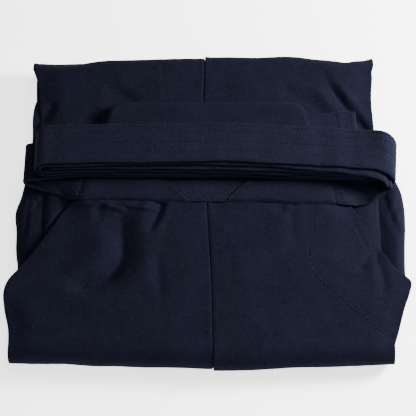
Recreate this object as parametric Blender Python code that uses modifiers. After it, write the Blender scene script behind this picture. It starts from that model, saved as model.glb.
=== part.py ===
"""Hakama trousers, folded and lying flat with the back side up.

The pleated legs are rolled into a package: the back panels run from the waist
down to a near fold, under the package, round a far fold and back on top of it.
The stiff back board lies across the top, and the four ties are folded to and fro
in one bundle above it.

Axes: X across the garment (to the wearer's right as it lies), Y from the near fold
to the far fold, Z up. The origin is the middle of the underside. Sizes below are
in millimetres, with y = 0 near the waist seam and x = 0 near the centre pleat.
"""
import math

import bmesh
import bpy

MM = 0.001
CENTRE_X = 1.0              # middle of the package in the sizes' own coordinates,
CENTRE_Y = -0.6             # which becomes the origin

# ---------------------------------------------------------------- driving sizes
CLOTH = 1.6                 # wall of the leg panels
PLEAT_CLOTH = 1.4           # wall of the front panels, which fold tightly
TIE_THICK = 2.6             # quilted ties
TIE_WIDTH = 41.0
GAP = 0.4                   # clearance between neighbouring pieces

FOLD_RADIUS = 14.0          # outer radius of the near and far folds
NEAR_FOLD_Y = -158.0        # centre of the near fold
FAR_FOLD_Y = 158.0          # centre of the far fold
WAIST_Y = -8.6              # upper end of the back panels, at the waist seam
WAIST_RISE = 5.6            # how far the waist seam stands above the fold
WAIST_RISE_SIDE = 1.6       # the same at the seam's two ends
WAIST_RISE_FROM = 135.0     # |x| where the rise starts
WAIST_RISE_OVER = 42.0      # width over which it grows
ARC_STEPS = 7               # facets in each half turn

CENTRE_TUCK = 24.0          # how far the left panel runs on under the right one
TUCK_DEPTH = 2.1            # how deep it lies there
TUCK_SLOPE = 9.0            # width over which it goes down

# Outline of the back panels, a row per station: y, left edge x, right edge x.
WAIST_RUN = (
    (-8.6, -127.0, 138.0),
    (-20.0, -138.0, 144.5),
    (-35.0, -148.0, 153.0),
    (-58.0, -163.0, 164.0),
    (-80.0, -177.5, 176.5),
    (-94.0, -187.0, 189.5),
    (-104.0, -189.5, 188.0),
    (-122.0, -188.0, 182.0),
    (-144.0, -183.5, 176.0),
    (-158.0, -182.0, 171.5),
)
UNDER_RUN = (
    (-158.0, -182.0, 171.5),
    (-95.0, -187.0, 185.0),
    (0.0, -183.0, 184.0),
    (24.0, -178.0, 176.0),
    (64.0, -175.0, 165.5),
    (110.0, -174.0, 165.0),
    (158.0, -177.0, 170.0),
)
TOP_RUN = (
    (158.0, -177.0, 170.0),
    (148.0, -173.5, 167.0),
    (135.0, -170.5, 166.0),
    (112.0, -168.5, 165.0),
    (94.0, -166.0, 165.5),
    (60.0, -168.5, 166.0),
    (16.0, -170.0, 168.0),
)
# Place of the centre pleat's edge: y, x on the waist run, x on the top run.
CENTRE_EDGE = (
    (-158.0, 6.0, 4.0),
    (-100.0, 5.0, 3.0),
    (-40.0, 2.0, 0.0),
    (0.0, 0.0, -3.0),
    (112.0, 0.0, -3.0),
    (158.0, 2.0, -2.0),
)
# How far each fold's centre moves along Y at an x: x, near fold, far fold.
FOLD_DRIFT_LEFT = (
    (-190.0, 4.0, -8.0),
    (-145.0, 3.5, -8.0),
    (-110.0, 2.0, -3.0),
    (-55.0, 0.0, -1.0),
    (30.0, -2.0, 0.0),
)
FOLD_DRIFT_RIGHT = (
    (-5.0, -3.2, 2.0),
    (45.0, -2.6, 1.0),
    (85.0, 0.0, 2.0),
    (116.0, 0.8, -2.0),
    (144.0, 1.8, -5.0),
    (190.0, 3.2, -1.0),
)
# Soft troughs pressed into the panels: run, start x, y, end x, y, width, depth.
TROUGHS = (
    ("waist", -78.0, -30.0, -80.0, -60.0, 20.0, 2.0),
    ("waist", -80.0, -60.0, -108.0, -98.0, 20.0, 1.6),
    ("waist", 156.0, -62.0, 172.0, -96.0, 16.0, 1.1),
    ("top", 128.0, 146.0, 158.0, 92.0, 15.0, 1.9),
    ("top", 92.0, 128.0, 120.0, 116.0, 18.0, 1.4),
)
LEFT_COLUMNS = (0.0, 0.1, 0.22, 0.36, 0.5, 0.62, 0.76, 0.9, 1.0)
RIGHT_COLUMNS = (0.0, 0.06, 0.2, 0.36, 0.52, 0.66, 0.78, 0.88, 0.95, 1.0)

# The hidden layers: clearance inside the panels and the ends of their folds.
CORE_CLEARANCE = 4.6
CORE_NEAR_Y = -153.0
CORE_FAR_Y = 149.0
CORE_SHOULDER_FRONT = 19.3  # top of its sides beneath the front panels
CORE_SHOULDER = 22.8        # top of its sides elsewhere
CORE_CROWN_HALF = 101.0     # half width of its raised middle
CORE_SLOPE = 6.0
GROOVE = 2.2                # depth of the grooves between the layers at the sides
# Layers seen at the sides: lower edge and upper edge as shares, inset.
LAYERS = (
    (0.0, 0.2, 1.5),
    (0.2, 0.38, 0.0),
    (0.38, 0.6, 2.8),
    (0.6, 0.8, 0.6),
    (0.8, 1.0, 3.2),
)
# Sides of the hidden layers: y, left x, right x.
CORE_SIDES = (
    (-163.0, -175.0, 166.0),
    (-140.0, -178.0, 170.0),
    (-116.0, -181.0, 175.0),
    (-98.0, -181.0, 179.0),
    (-80.0, -176.5, 180.0),
    (-54.0, -178.0, 180.0),
    (-6.0, -180.0, 181.0),
    (14.0, -175.0, 179.0),
    (30.0, -173.0, 174.0),
    (72.0, -174.5, 163.0),
    (98.0, -175.5, 162.0),
    (114.0, -173.5, 162.5),
    (130.0, -168.0, 163.0),
    (160.0, -172.0, 165.0),
)
CORE_STATIONS = (
    -135.0, -121.0, -118.5, -98.0, -80.0, -54.0, -30.0, -10.5, -2.5,
    14.0, 25.0, 28.0, 72.0, 98.0, 114.0, 130.0,
)

# Front panels seen through the side slits: profile x, z of the middle of the cloth.
FRONT_LEFT_PROFILE = (
    (-106.0, 24.6), (-130.0, 24.7), (-155.5, 24.6),
    (-156.9, 23.7), (-155.5, 22.8),
    (-133.0, 22.8), (-131.6, 21.9), (-133.0, 21.0),
    (-156.0, 21.0), (-166.0, 22.3), (-177.0, 22.5),
    (-183.5, 20.0), (-186.2, 15.0), (-186.0, 9.0),
)
FRONT_RIGHT_PROFILE = (
    (106.0, 24.6), (135.0, 24.7), (163.5, 24.6),
    (164.9, 23.7), (163.5, 22.8),
    (141.0, 22.8), (139.6, 21.9), (141.0, 21.0),
    (168.0, 20.6), (175.0, 22.0), (181.0, 24.2),
    (187.5, 21.5), (190.8, 15.5), (190.0, 9.0),
)
# How the outer part of each front panel moves along X: y, left, right.
FRONT_DRIFT = (
    (24.0, 7.0, -8.0),
    (8.0, 4.0, -2.5),
    (-8.0, 0.0, 0.0),
    (-30.0, 1.0, -0.5),
    (-55.0, 3.0, -3.5),
    (-76.0, 5.5, -4.5),
    (-90.0, 1.0, -5.0),
    (-114.0, 0.0, -11.0),
)
FRONT_DRIFT_FROM_LEFT = -150.0   # the drift grows from here outward
FRONT_DRIFT_FROM_RIGHT = 160.0

# Back board and what is sewn on it.
BOARD_LOW = 31.7
BOARD_HIGH = 34.9
COVER_HIGH = 36.8
BOARD_NEAR_HALF = 125.0     # half width at the waist seam
BOARD_FAR_HALF = 94.0       # half width at the far edge
BOARD_NEAR_Y = -8.0
BOARD_FAR_Y = 105.0
BOARD_SLANT = -0.025        # the waist seam's slope across the board
BOARD_CORNER = 11.0
NOTCH_NEAR_LEFT = -19.0
NOTCH_NEAR_RIGHT = 17.0
NOTCH_FAR_Y = 27.0
NOTCH_SLOPE = 0.98
BINDING_FAR_Y = -3.0
EDGE_ROUND = 0.5

# Front waistband, between the top run and the board.
BAND_LOW = 28.5
BAND_HIGH = 31.2
BAND_NEAR_Y = 10.0
BAND_FAR_Y = 46.0
BAND_HALF = 127.0

# The bundle of ties: x, lowest z, highest z.
BUNDLE = (
    (-178.0, 33.6, 57.0),
    (-150.0, 35.0, 57.8),
    (-126.0, 36.9, 57.9),
    (-118.0, 37.2, 58.0),
    (0.0, 37.2, 58.2),
    (66.0, 37.2, 57.8),
    (104.0, 37.2, 56.0),
    (118.0, 37.2, 55.6),
    (140.0, 36.6, 55.0),
    (168.0, 36.0, 54.4),
)
BUNDLE_LEVELS = 6
TURN_STEPS = 6
# Stations along a tie in the bundle.
TIE_STATIONS = (-150.0, -126.0, -118.0, -60.0, 0.0, 66.0, 104.0, 118.0, 140.0, 152.0)


# ---------------------------------------------------------------- small helpers
def read(table, place, column):
    """Value of a table's column at a place, straight between its rows."""
    rows = sorted(table)
    if place <= rows[0][0]:
        return rows[0][column]
    for low, high in zip(rows, rows[1:]):
        if place <= high[0]:
            share = (place - low[0]) / (high[0] - low[0])
            return low[column] + share * (high[column] - low[column])
    return rows[-1][column]


def soft_step(value):
    """0 below 0, 1 above 1, smooth between."""
    value = min(max(value, 0.0), 1.0)
    return value * value * (3.0 - 2.0 * value)


def clear_scene():
    for thing in list(bpy.data.objects):
        bpy.data.objects.remove(thing, do_unlink=True)


def make_material(name, colour, roughness):
    material = bpy.data.materials.new(name)
    material.use_nodes = True
    shader = material.node_tree.nodes["Principled BSDF"]
    shader.inputs["Base Color"].default_value = (*colour, 1.0)
    shader.inputs["Roughness"].default_value = roughness
    shader.inputs["Metallic"].default_value = 0.0
    return material


def make_object(name, vertices, faces, material, collection):
    """Object from vertices in millimetres."""
    mesh = bpy.data.meshes.new(name)
    placed = [((x - CENTRE_X) * MM, (y - CENTRE_Y) * MM, z * MM) for x, y, z in vertices]
    mesh.from_pydata(placed, [], faces)
    mesh.materials.append(material)
    mesh.validate()
    shape = bpy.data.objects.new(name, mesh)
    collection.objects.link(shape)
    return shape


def face_out(shape):
    """Turns a closed mesh's faces outward."""
    work = bmesh.new()
    work.from_mesh(shape.data)
    bmesh.ops.recalc_face_normals(work, faces=work.faces)
    work.to_mesh(shape.data)
    work.free()


def cloth_from_grid(name, grid, wall, material, collection):
    """Open sheet through a grid of points, given its wall by Solidify."""
    rows = len(grid)
    columns = len(grid[0])
    vertices = [point for row in grid for point in row]
    faces = []
    for row in range(rows - 1):
        for column in range(columns - 1):
            corner = row * columns + column
            faces.append((corner, corner + 1, corner + columns + 1, corner + columns))
    shape = make_object(name, vertices, faces, material, collection)
    thicken = shape.modifiers.new("wall", "SOLIDIFY")
    thicken.thickness = wall * MM
    thicken.offset = 0.0
    thicken.use_even_offset = True
    thicken.use_rim = True
    return shape


def plate_from_outline(name, outline, low, high, material, collection):
    """Flat piece cut to an outline, with slightly rounded edges."""
    curve = bpy.data.curves.new(name, "CURVE")
    curve.dimensions = "2D"
    curve.fill_mode = "BOTH"
    curve.extrude = 0.5 * (high - low) * MM
    spline = curve.splines.new("POLY")
    spline.points.add(len(outline) - 1)
    for point, (x, y) in zip(spline.points, outline):
        point.co = ((x - CENTRE_X) * MM, (y - CENTRE_Y) * MM, 0.0, 1.0)
    spline.use_cyclic_u = True
    guide = bpy.data.objects.new(name + "_outline", curve)
    collection.objects.link(guide)
    guide.location.z = 0.5 * (high + low) * MM
    bpy.context.view_layer.update()
    depsgraph = bpy.context.evaluated_depsgraph_get()
    mesh = bpy.data.meshes.new_from_object(guide.evaluated_get(depsgraph))
    placing = guide.matrix_world.copy()
    bpy.data.objects.remove(guide, do_unlink=True)
    work = bmesh.new()
    work.from_mesh(mesh)
    bmesh.ops.remove_doubles(work, verts=work.verts, dist=0.00002)
    bmesh.ops.recalc_face_normals(work, faces=work.faces)
    work.to_mesh(mesh)
    work.free()
    mesh.name = name
    mesh.materials.clear()
    mesh.materials.append(material)
    shape = bpy.data.objects.new(name, mesh)
    shape.matrix_world = placing
    collection.objects.link(shape)
    bevel = shape.modifiers.new("edge", "BEVEL")
    bevel.width = EDGE_ROUND * MM
    bevel.segments = 1
    bevel.limit_method = "ANGLE"
    bevel.angle_limit = math.radians(50.0)
    return shape


# ---------------------------------------------------------------- back panels
def waist_run_height(x, y):
    """Outer height of the panels between the waist seam and the near fold."""
    share = min(max((WAIST_Y - y) / (WAIST_Y - NEAR_FOLD_Y), 0.0), 1.0)
    inward = soft_step((WAIST_RISE_FROM - abs(x)) / WAIST_RISE_OVER)
    rise = WAIST_RISE_SIDE + (WAIST_RISE - WAIST_RISE_SIDE) * inward
    return 2.0 * FOLD_RADIUS + rise * (1.0 - share) ** 2


def wrap_stations():
    """Stations round the package: y, z, outward y, outward z, left x, right x, run."""
    stations = []
    for y, left, right in WAIST_RUN[:-1]:
        stations.append((y, 2.0 * FOLD_RADIUS, 0.0, 1.0, left, right, "waist"))
    for step in range(ARC_STEPS + 1):
        angle = math.pi * step / ARC_STEPS
        out_y = -math.sin(angle)
        out_z = math.cos(angle)
        y = NEAR_FOLD_Y + FOLD_RADIUS * out_y
        z = FOLD_RADIUS * (1.0 + out_z)
        stations.append((y, z, out_y, out_z, WAIST_RUN[-1][1], WAIST_RUN[-1][2], "near"))
    for y, left, right in UNDER_RUN[1:-1]:
        stations.append((y, 0.0, 0.0, -1.0, left, right, "under"))
    for step in range(ARC_STEPS + 1):
        angle = math.pi * step / ARC_STEPS
        out_y = math.sin(angle)
        out_z = -math.cos(angle)
        y = FAR_FOLD_Y + FOLD_RADIUS * out_y
        z = FOLD_RADIUS * (1.0 + out_z)
        stations.append((y, z, out_y, out_z, TOP_RUN[0][1], TOP_RUN[0][2], "far"))
    for y, left, right in TOP_RUN[1:]:
        stations.append((y, 2.0 * FOLD_RADIUS, 0.0, 1.0, left, right, "top"))
    return stations


def fold_drift(table, x, y):
    """Shift along Y that lets the folds and the waist seam run slightly crooked."""
    near = read(table, x, 1) * soft_step((-40.0 - y) / 90.0)
    far = read(table, x, 2) * soft_step((y - 40.0) / 90.0)
    waist = BOARD_SLANT * x * soft_step((y + 50.0) / 40.0) * soft_step(-y / 5.0)
    return near + far + waist


def trough_depth(x, y, run):
    """How deep the pressed troughs go at a place on a run."""
    depth = 0.0
    for on_run, x0, y0, x1, y1, width, most in TROUGHS:
        if on_run != run:
            continue
        length_sq = (x1 - x0) ** 2 + (y1 - y0) ** 2
        share = ((x - x0) * (x1 - x0) + (y - y0) * (y1 - y0)) / length_sq
        share = min(max(share, 0.0), 1.0)
        away = math.hypot(x - x0 - share * (x1 - x0), y - y0 - share * (y1 - y0))
        depth = max(depth, most * soft_step(1.0 - away / width))
    return depth


def panel_point(station, x, depth, drift_table):
    """Point at a depth below the outer surface, at x on a station."""
    y, z, out_y, out_z, _, _, run = station
    if run == "waist":
        z = waist_run_height(x, y)
    sunk = depth + trough_depth(x, y, run)
    return (
        x,
        y + fold_drift(drift_table, x, y) - sunk * out_y,
        z - sunk * out_z,
    )


def centre_x(station):
    column = 1 if station[6] in ("waist", "near") else 2
    return read(CENTRE_EDGE, station[0], column)


def build_back_leg_left(material, collection):
    grid = []
    for station in wrap_stations():
        edge = centre_x(station)
        left = station[4]
        shoulder = edge - TUCK_SLOPE
        row = []
        for share in LEFT_COLUMNS:
            row.append(panel_point(station, left + share * (shoulder - left), CLOTH / 2, FOLD_DRIFT_LEFT))
        for x in (edge - 2.0, edge + CENTRE_TUCK):
            row.append(panel_point(station, x, TUCK_DEPTH + CLOTH / 2, FOLD_DRIFT_LEFT))
        grid.append(row)
    return cloth_from_grid("back_leg_left", grid, CLOTH, material, collection)


def build_back_leg_right(material, collection):
    grid = []
    for station in wrap_stations():
        edge = centre_x(station)
        right = station[5]
        row = []
        for share in RIGHT_COLUMNS:
            row.append(panel_point(station, edge + share * (right - edge), CLOTH / 2, FOLD_DRIFT_RIGHT))
        grid.append(row)
    return cloth_from_grid("back_leg_right", grid, CLOTH, material, collection)


# ---------------------------------------------------------------- hidden layers
def layered_side(x_out, direction, low, high):
    """Points up one side, with a groove between neighbouring layers."""
    height = high - low
    points = []
    for start, end, inset in LAYERS:
        swell = 0.28 * (end - start)
        points.append((x_out - direction * (inset + GROOVE), low + start * height))
        points.append((x_out - direction * inset, low + (start + swell) * height))
        points.append((x_out - direction * inset, low + (end - swell) * height))
    points.append((x_out - direction * (LAYERS[-1][2] + GROOVE), high))
    return points


def core_ring(y):
    left = read(CORE_SIDES, y, 1)
    right = read(CORE_SIDES, y, 2)
    past = max(CORE_NEAR_Y - y, y - CORE_FAR_Y, 0.0)
    inner = FOLD_RADIUS - CORE_CLEARANCE
    half = math.sqrt(max(inner * inner - past * past, 0.25))
    low = FOLD_RADIUS - half
    full = FOLD_RADIUS + half
    shoulder = CORE_SHOULDER_FRONT if -120.0 < y < 26.0 else CORE_SHOULDER
    crown = full
    if -152.0 < y < WAIST_Y - 1.0:
        crown = waist_run_height(CORE_CROWN_HALF, y) - CORE_CLEARANCE
    shoulder = min(shoulder, full - 0.2)
    points = [(x, y, z) for x, z in layered_side(left, -1.0, low, shoulder)]
    for x, z in (
        (-CORE_CROWN_HALF - CORE_SLOPE, shoulder),
        (-CORE_CROWN_HALF, crown),
        (0.0, crown),
        (CORE_CROWN_HALF, crown),
        (CORE_CROWN_HALF + CORE_SLOPE, shoulder),
    ):
        points.append((x, y, z))
    points += [(x, y, z) for x, z in reversed(layered_side(right, 1.0, low, shoulder))]
    points.append((0.0, y, low))
    return points


def build_folded_layers(material, collection):
    inner = FOLD_RADIUS - CORE_CLEARANCE
    near_ends = [CORE_NEAR_Y - inner * share for share in (1.0, 0.9, 0.65, 0.3, 0.0)]
    far_ends = [CORE_FAR_Y + inner * share for share in (0.0, 0.3, 0.65, 0.9, 1.0)]
    rings = [core_ring(y) for y in near_ends + list(CORE_STATIONS) + far_ends]
    count = len(rings[0])
    vertices = [point for ring in rings for point in ring]
    faces = []
    for ring in range(len(rings) - 1):
        for index in range(count):
            after = (index + 1) % count
            start = ring * count
            faces.append((start + index, start + after, start + count + after, start + count + index))
    last = (len(rings) - 1) * count
    faces.append(tuple(range(count)))
    faces.append(tuple(last + index for index in reversed(range(count))))
    shape = make_object("folded_layers", vertices, faces, material, collection)
    face_out(shape)
    return shape


# ---------------------------------------------------------------- front panels
def build_front_panel(name, profile, column, drift_from, material, collection):
    outer_x = profile[-2][0]
    grid = []
    for row in FRONT_DRIFT:
        y = row[0]
        points = []
        for x, z in profile:
            share = (x - drift_from) / (outer_x - drift_from)
            points.append((x + row[column] * soft_step(share), y, z))
        grid.append(points)
    return cloth_from_grid(name, grid, PLEAT_CLOTH, material, collection)


# ---------------------------------------------------------------- back board
def board_half(y):
    share = (y - BOARD_NEAR_Y) / (BOARD_FAR_Y - BOARD_NEAR_Y)
    return BOARD_NEAR_HALF + share * (BOARD_FAR_HALF - BOARD_NEAR_HALF)


def board_seam_y(x):
    return BOARD_NEAR_Y + BOARD_SLANT * x


def far_corner(side, inset):
    """Rounded far corner of the board, from its side to its far edge."""
    radius = BOARD_CORNER - inset
    lean = math.atan2(BOARD_NEAR_HALF - BOARD_FAR_HALF, BOARD_FAR_Y - BOARD_NEAR_Y)
    centre_y = BOARD_FAR_Y - BOARD_CORNER
    centre_x_out = board_half(centre_y) - BOARD_CORNER / math.cos(lean)
    points = []
    for step in range(6):
        angle = lean + (math.pi / 2 - lean) * step / 5
        points.append((
            side * (centre_x_out + radius * math.cos(angle)),
            centre_y + radius * math.sin(angle),
        ))
    return points


def board_outline(inset, notched):
    """Outline of the board, anticlockwise from the left end of the waist seam."""
    left = -(BOARD_NEAR_HALF - inset)
    right = BOARD_NEAR_HALF - inset
    outline = [(left, board_seam_y(left) + inset)]
    if notched:
        outline += notch_outline(GAP)
    outline.append((right, board_seam_y(right) + inset))
    outline += far_corner(1.0, inset)
    outline += reversed(far_corner(-1.0, inset))
    return outline


def notch_side_x(y, side, grow):
    """X of one slanting side of the notch at a y."""
    start = NOTCH_NEAR_RIGHT if side > 0 else NOTCH_NEAR_LEFT
    return start + side * (NOTCH_SLOPE * (y - BOARD_NEAR_Y) + grow * 1.4)


def notch_outline(grow):
    far_y = NOTCH_FAR_Y + grow
    near_y_left = board_seam_y(NOTCH_NEAR_LEFT)
    near_y_right = board_seam_y(NOTCH_NEAR_RIGHT)
    return [
        (notch_side_x(near_y_left, -1.0, grow), near_y_left),
        (notch_side_x(far_y, -1.0, grow), far_y),
        (notch_side_x(far_y, 1.0, grow), far_y),
        (notch_side_x(near_y_right, 1.0, grow), near_y_right),
    ]


def centre_piece_outline():
    near_y = BINDING_FAR_Y
    return [
        (notch_side_x(near_y, -1.0, 0.0), near_y),
        (notch_side_x(near_y, 1.0, 0.0), near_y),
        (notch_side_x(NOTCH_FAR_Y, 1.0, 0.0), NOTCH_FAR_Y),
        (notch_side_x(NOTCH_FAR_Y, -1.0, 0.0), NOTCH_FAR_Y),
    ]


def binding_outline():
    far_y = BINDING_FAR_Y - GAP
    near_left = board_seam_y(NOTCH_NEAR_LEFT)
    near_right = board_seam_y(NOTCH_NEAR_RIGHT)
    return [
        (notch_side_x(near_left, -1.0, 0.0), near_left),
        (notch_side_x(near_right, 1.0, 0.0), near_right),
        (notch_side_x(far_y, 1.0, 0.0), far_y),
        (notch_side_x(far_y, -1.0, 0.0), far_y),
    ]


def build_board(material, tie_material, collection):
    plate_from_outline(
        "koshi_ita", board_outline(1.0, False), BOARD_LOW, BOARD_HIGH, material, collection
    )
    plate_from_outline(
        "koshi_cover", board_outline(0.0, True), BOARD_HIGH + GAP, COVER_HIGH, material, collection
    )
    plate_from_outline(
        "himo_back_center", centre_piece_outline(), BOARD_HIGH + GAP, COVER_HIGH - 0.3,
        tie_material, collection,
    )
    plate_from_outline(
        "koshi_base_binding", binding_outline(), BOARD_HIGH + GAP, COVER_HIGH - 0.1,
        tie_material, collection,
    )


def build_front_waistband(material, collection):
    outline = [
        (-BAND_HALF, BAND_NEAR_Y), (BAND_HALF, BAND_NEAR_Y),
        (BAND_HALF, BAND_FAR_Y), (-BAND_HALF, BAND_FAR_Y),
    ]
    plate_from_outline("front_waistband", outline, BAND_LOW, BAND_HIGH, material, collection)


# ---------------------------------------------------------------- ties
def level_z(level, x):
    """Height of the middle of a tie on a level of the bundle."""
    low = read(BUNDLE, x, 1)
    high = read(BUNDLE, x, 2)
    return low + (level + 0.5) / BUNDLE_LEVELS * (high - low)


def run_on_level(level, x_from, x_to, near_edge):
    """Stations of a tie on a level: x, z, y of its near edge, from a table of x, y."""
    stops = [x for x in TIE_STATIONS if min(x_from, x_to) < x < max(x_from, x_to)]
    stops = sorted(stops + [x_from, x_to], reverse=x_to < x_from)
    return [(x, level_z(level, x), read(near_edge, x, 1)) for x in stops]


def turn(start, end, side):
    """Half turn between the ends of two runs, bulging to a side along X."""
    x = 0.5 * (start[0] + end[0])
    middle_z = 0.5 * (start[1] + end[1])
    radius = 0.5 * abs(end[1] - start[1])
    rising = 1.0 if end[1] > start[1] else -1.0
    points = []
    for step in range(1, TURN_STEPS):
        share = step / TURN_STEPS
        angle = math.pi * share
        points.append((
            x + side * radius * math.sin(angle),
            middle_z - rising * radius * math.cos(angle),
            start[2] + share * (end[2] - start[2]),
        ))
    return points


def tie_from_path(name, path, material, collection, start_skew=0.0):
    """Tie along a path of x, z and the y of its near edge."""
    grid = []
    for index, (x, z, near_y) in enumerate(path):
        skew = start_skew if index == 0 else 0.0
        grid.append([(x, near_y, z), (x + skew, near_y + TIE_WIDTH, z)])
    return cloth_from_grid(name, grid, TIE_THICK, material, collection)


def build_back_tie_left(material, collection):
    """From the board's left end, folded back, across, and back again."""
    out = [(-126.6, 33.4, -3.0), (-136.0, 32.4, -1.0), (-148.0, 31.0, 2.5), (-162.0, 30.2, 8.0),
           (-175.5, 30.0, 13.5)]
    first = [(-175.5, 34.4, 14.5), (-162.0, 34.9, 16.0)]
    first += run_on_level(0, -150.0, 152.0, ((-150.0, 16.5), (0.0, 15.0), (152.0, 14.0)))
    second = run_on_level(3, 152.0, -150.0, ((-150.0, 19.5), (152.0, 17.0)))
    path = out + turn(out[-1], first[0], -1.0) + first + turn(first[-1], second[0], 1.0) + second
    return tie_from_path("himo_back_left", path, material, collection, start_skew=10.5)


def build_back_tie_right(material, collection):
    """From the board's right end, turned up in an open loop and across."""
    out = [(126.6, 33.4, -10.5), (140.0, 33.3, -9.5), (153.0, 33.2, -6.0), (167.0, 33.2, -3.0)]
    first = [(167.0, level_z(4, 167.0), 8.0)]
    first += run_on_level(4, 152.0, -158.0, ((-158.0, 20.5), (66.0, 20.0), (112.0, 15.5), (152.0, 10.5)))
    second = run_on_level(2, -158.0, 138.0, ((-158.0, 18.5), (138.0, 16.0)))
    path = out + turn(out[-1], first[0], 1.0) + first + turn(first[-1], second[0], -1.0) + second
    return tie_from_path("himo_back_right", path, material, collection, start_skew=-10.5)


def build_front_tie_right(material, collection):
    """From the front waistband, outside the other ties and over the bundle."""
    out = [(BAND_HALF + GAP, 29.9, 10.0), (150.0, 29.9, 10.5), (167.0, 29.8, 12.0)]
    first = [(167.0, level_z(5, 167.0), 17.0)]
    first += run_on_level(5, 152.0, -158.0, ((-158.0, 21.5), (66.0, 21.8), (112.0, 18.5), (152.0, 17.8)))
    second = run_on_level(1, -158.0, 144.0, ((-158.0, 17.0), (144.0, 14.8)))
    path = out + turn(out[-1], first[0], 1.0) + first + turn(first[-1], second[0], -1.0) + second
    return tie_from_path("himo_front_right", path, material, collection)


def build_front_tie_left(material, collection):
    """End of the other front tie, flat beneath the board, its tip turned under."""
    path = [(-84.0, 30.1, 47.0), (60.0, 30.1, 47.0), (98.0, 30.1, 50.0), (132.0, 30.2, 55.0),
            (146.5, 30.4, 55.0)]
    return tie_from_path("himo_front_left", path, material, collection)


# ---------------------------------------------------------------- whole garment
def main():
    clear_scene()
    collection = bpy.data.collections.new("hakama")
    bpy.context.scene.collection.children.link(collection)
    twill = make_material("navy_twill", (0.012, 0.015, 0.034), 0.78)
    tie_twill = make_material("tie_twill", (0.014, 0.018, 0.038), 0.74)
    board_twill = make_material("board_twill", (0.013, 0.017, 0.036), 0.76)

    build_back_leg_left(twill, collection)
    build_back_leg_right(twill, collection)
    build_folded_layers(twill, collection)
    build_front_panel("front_left_panel", FRONT_LEFT_PROFILE, 1, FRONT_DRIFT_FROM_LEFT,
                      twill, collection)
    build_front_panel("front_right_panel", FRONT_RIGHT_PROFILE, 2, FRONT_DRIFT_FROM_RIGHT,
                      twill, collection)
    build_front_waistband(twill, collection)
    build_board(board_twill, tie_twill, collection)
    build_back_tie_left(tie_twill, collection)
    build_back_tie_right(tie_twill, collection)
    build_front_tie_right(tie_twill, collection)
    build_front_tie_left(tie_twill, collection)


main()
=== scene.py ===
"""Looks of the folded hakama: its cloth, pleats, creases, ties and stitching.

Every piece is modelled in the part's own layout, in millimetres: X across the
garment, Y from the near fold to the far fold, Z up, with x = 0 near the centre
pleat and y = 0 near the waist seam. place() moves that layout into the frame.
"""

import math

import bpy
import numpy as np
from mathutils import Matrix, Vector
from mathutils.bvhtree import BVHTree


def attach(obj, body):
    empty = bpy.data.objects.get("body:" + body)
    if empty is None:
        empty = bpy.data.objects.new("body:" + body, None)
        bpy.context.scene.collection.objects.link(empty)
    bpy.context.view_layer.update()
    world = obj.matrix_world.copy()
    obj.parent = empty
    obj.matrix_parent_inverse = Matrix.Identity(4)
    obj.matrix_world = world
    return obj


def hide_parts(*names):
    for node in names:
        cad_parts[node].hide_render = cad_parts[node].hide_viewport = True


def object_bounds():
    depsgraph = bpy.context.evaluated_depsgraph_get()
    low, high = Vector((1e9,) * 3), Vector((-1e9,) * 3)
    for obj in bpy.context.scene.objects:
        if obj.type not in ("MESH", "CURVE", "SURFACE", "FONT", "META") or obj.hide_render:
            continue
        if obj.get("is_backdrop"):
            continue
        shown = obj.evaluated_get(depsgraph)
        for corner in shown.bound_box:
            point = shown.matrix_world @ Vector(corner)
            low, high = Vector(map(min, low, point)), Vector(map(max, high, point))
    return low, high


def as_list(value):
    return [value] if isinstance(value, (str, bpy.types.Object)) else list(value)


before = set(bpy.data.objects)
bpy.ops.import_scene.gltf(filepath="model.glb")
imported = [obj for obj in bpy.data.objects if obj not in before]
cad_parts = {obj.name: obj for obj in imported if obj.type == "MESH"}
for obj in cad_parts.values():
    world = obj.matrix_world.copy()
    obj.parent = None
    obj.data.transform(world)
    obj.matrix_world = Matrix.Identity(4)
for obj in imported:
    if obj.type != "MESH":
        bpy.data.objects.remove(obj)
cad_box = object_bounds()

MM = 0.001
CENTRE = (1.0, -0.6, 0.0)   # the frame's origin in the layout
WEAVE = "weave"             # name of the UV layer that holds flat cloth sizes

# ---- driving sizes
CLOTH = 1.3                 # folded edge of the leg cloth
LAYER_CLOTH = 1.45
PLEAT_CLOTH = 1.2
RIM_STEPS = 4               # facets round a cloth edge
RIM_SHIFT = 0.7             # how the weave carries on round an edge, along both flat axes
LEG_MESH = (2.0, 5.0, 18)   # spacing of mesh rows shown and hidden, rows round each fold
LAYER_MESH = (7.0, 9.0, 10)
FRONT_STEP = 2.0            # the same spacing on the front panels
# Finer rows below the waist seam, where the cloth puckers.
SEAM_STEPS = (0, 0.4, 0.8, 1.2, 1.8, 2.6, *np.arange(3.5, 14.0), 15)

FOLD_RADIUS = 14.0
FOLD_Y = 158.0              # centres of the far fold, and of the near fold at -FOLD_Y
WAIST_Y = -8.6              # where the wrapped cloth starts at the waist seam
TOP_END_Y = 16.0            # and where it ends under the board
# How far the back panels stand above the folds' height at the waist seam.
WAIST_RISE = 5.6
WAIST_RISE_SIDE = 1.6
WAIST_RISE_FROM = 140.0
WAIST_RISE_OVER = 30.0
# How a back panel's free side edge lies on the layers inside it.
SETTLE_WIDTH = 26.0
SETTLE_LIFT = 2.2           # off the floor, below
SETTLE_DROOP = 2.3          # downwards, above

# The left panel's strip below the centre pleat: its depth, slope and mesh columns.
TUCK_DEPTH = 1.4
TUCK_SLOPE = 2.4
TUCK_COLUMNS = np.array([-2.1, -1.8, -1.5, -1.2, -0.9, -0.4, 0.5, 4.0, 12.0, 24.0])

# Runs of the wrapped cloth, in order from the waist seam, and the front panels.
WAIST, NEAR, UNDER, FAR, TOP, FRONT_LEFT, FRONT_RIGHT = range(7)

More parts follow.
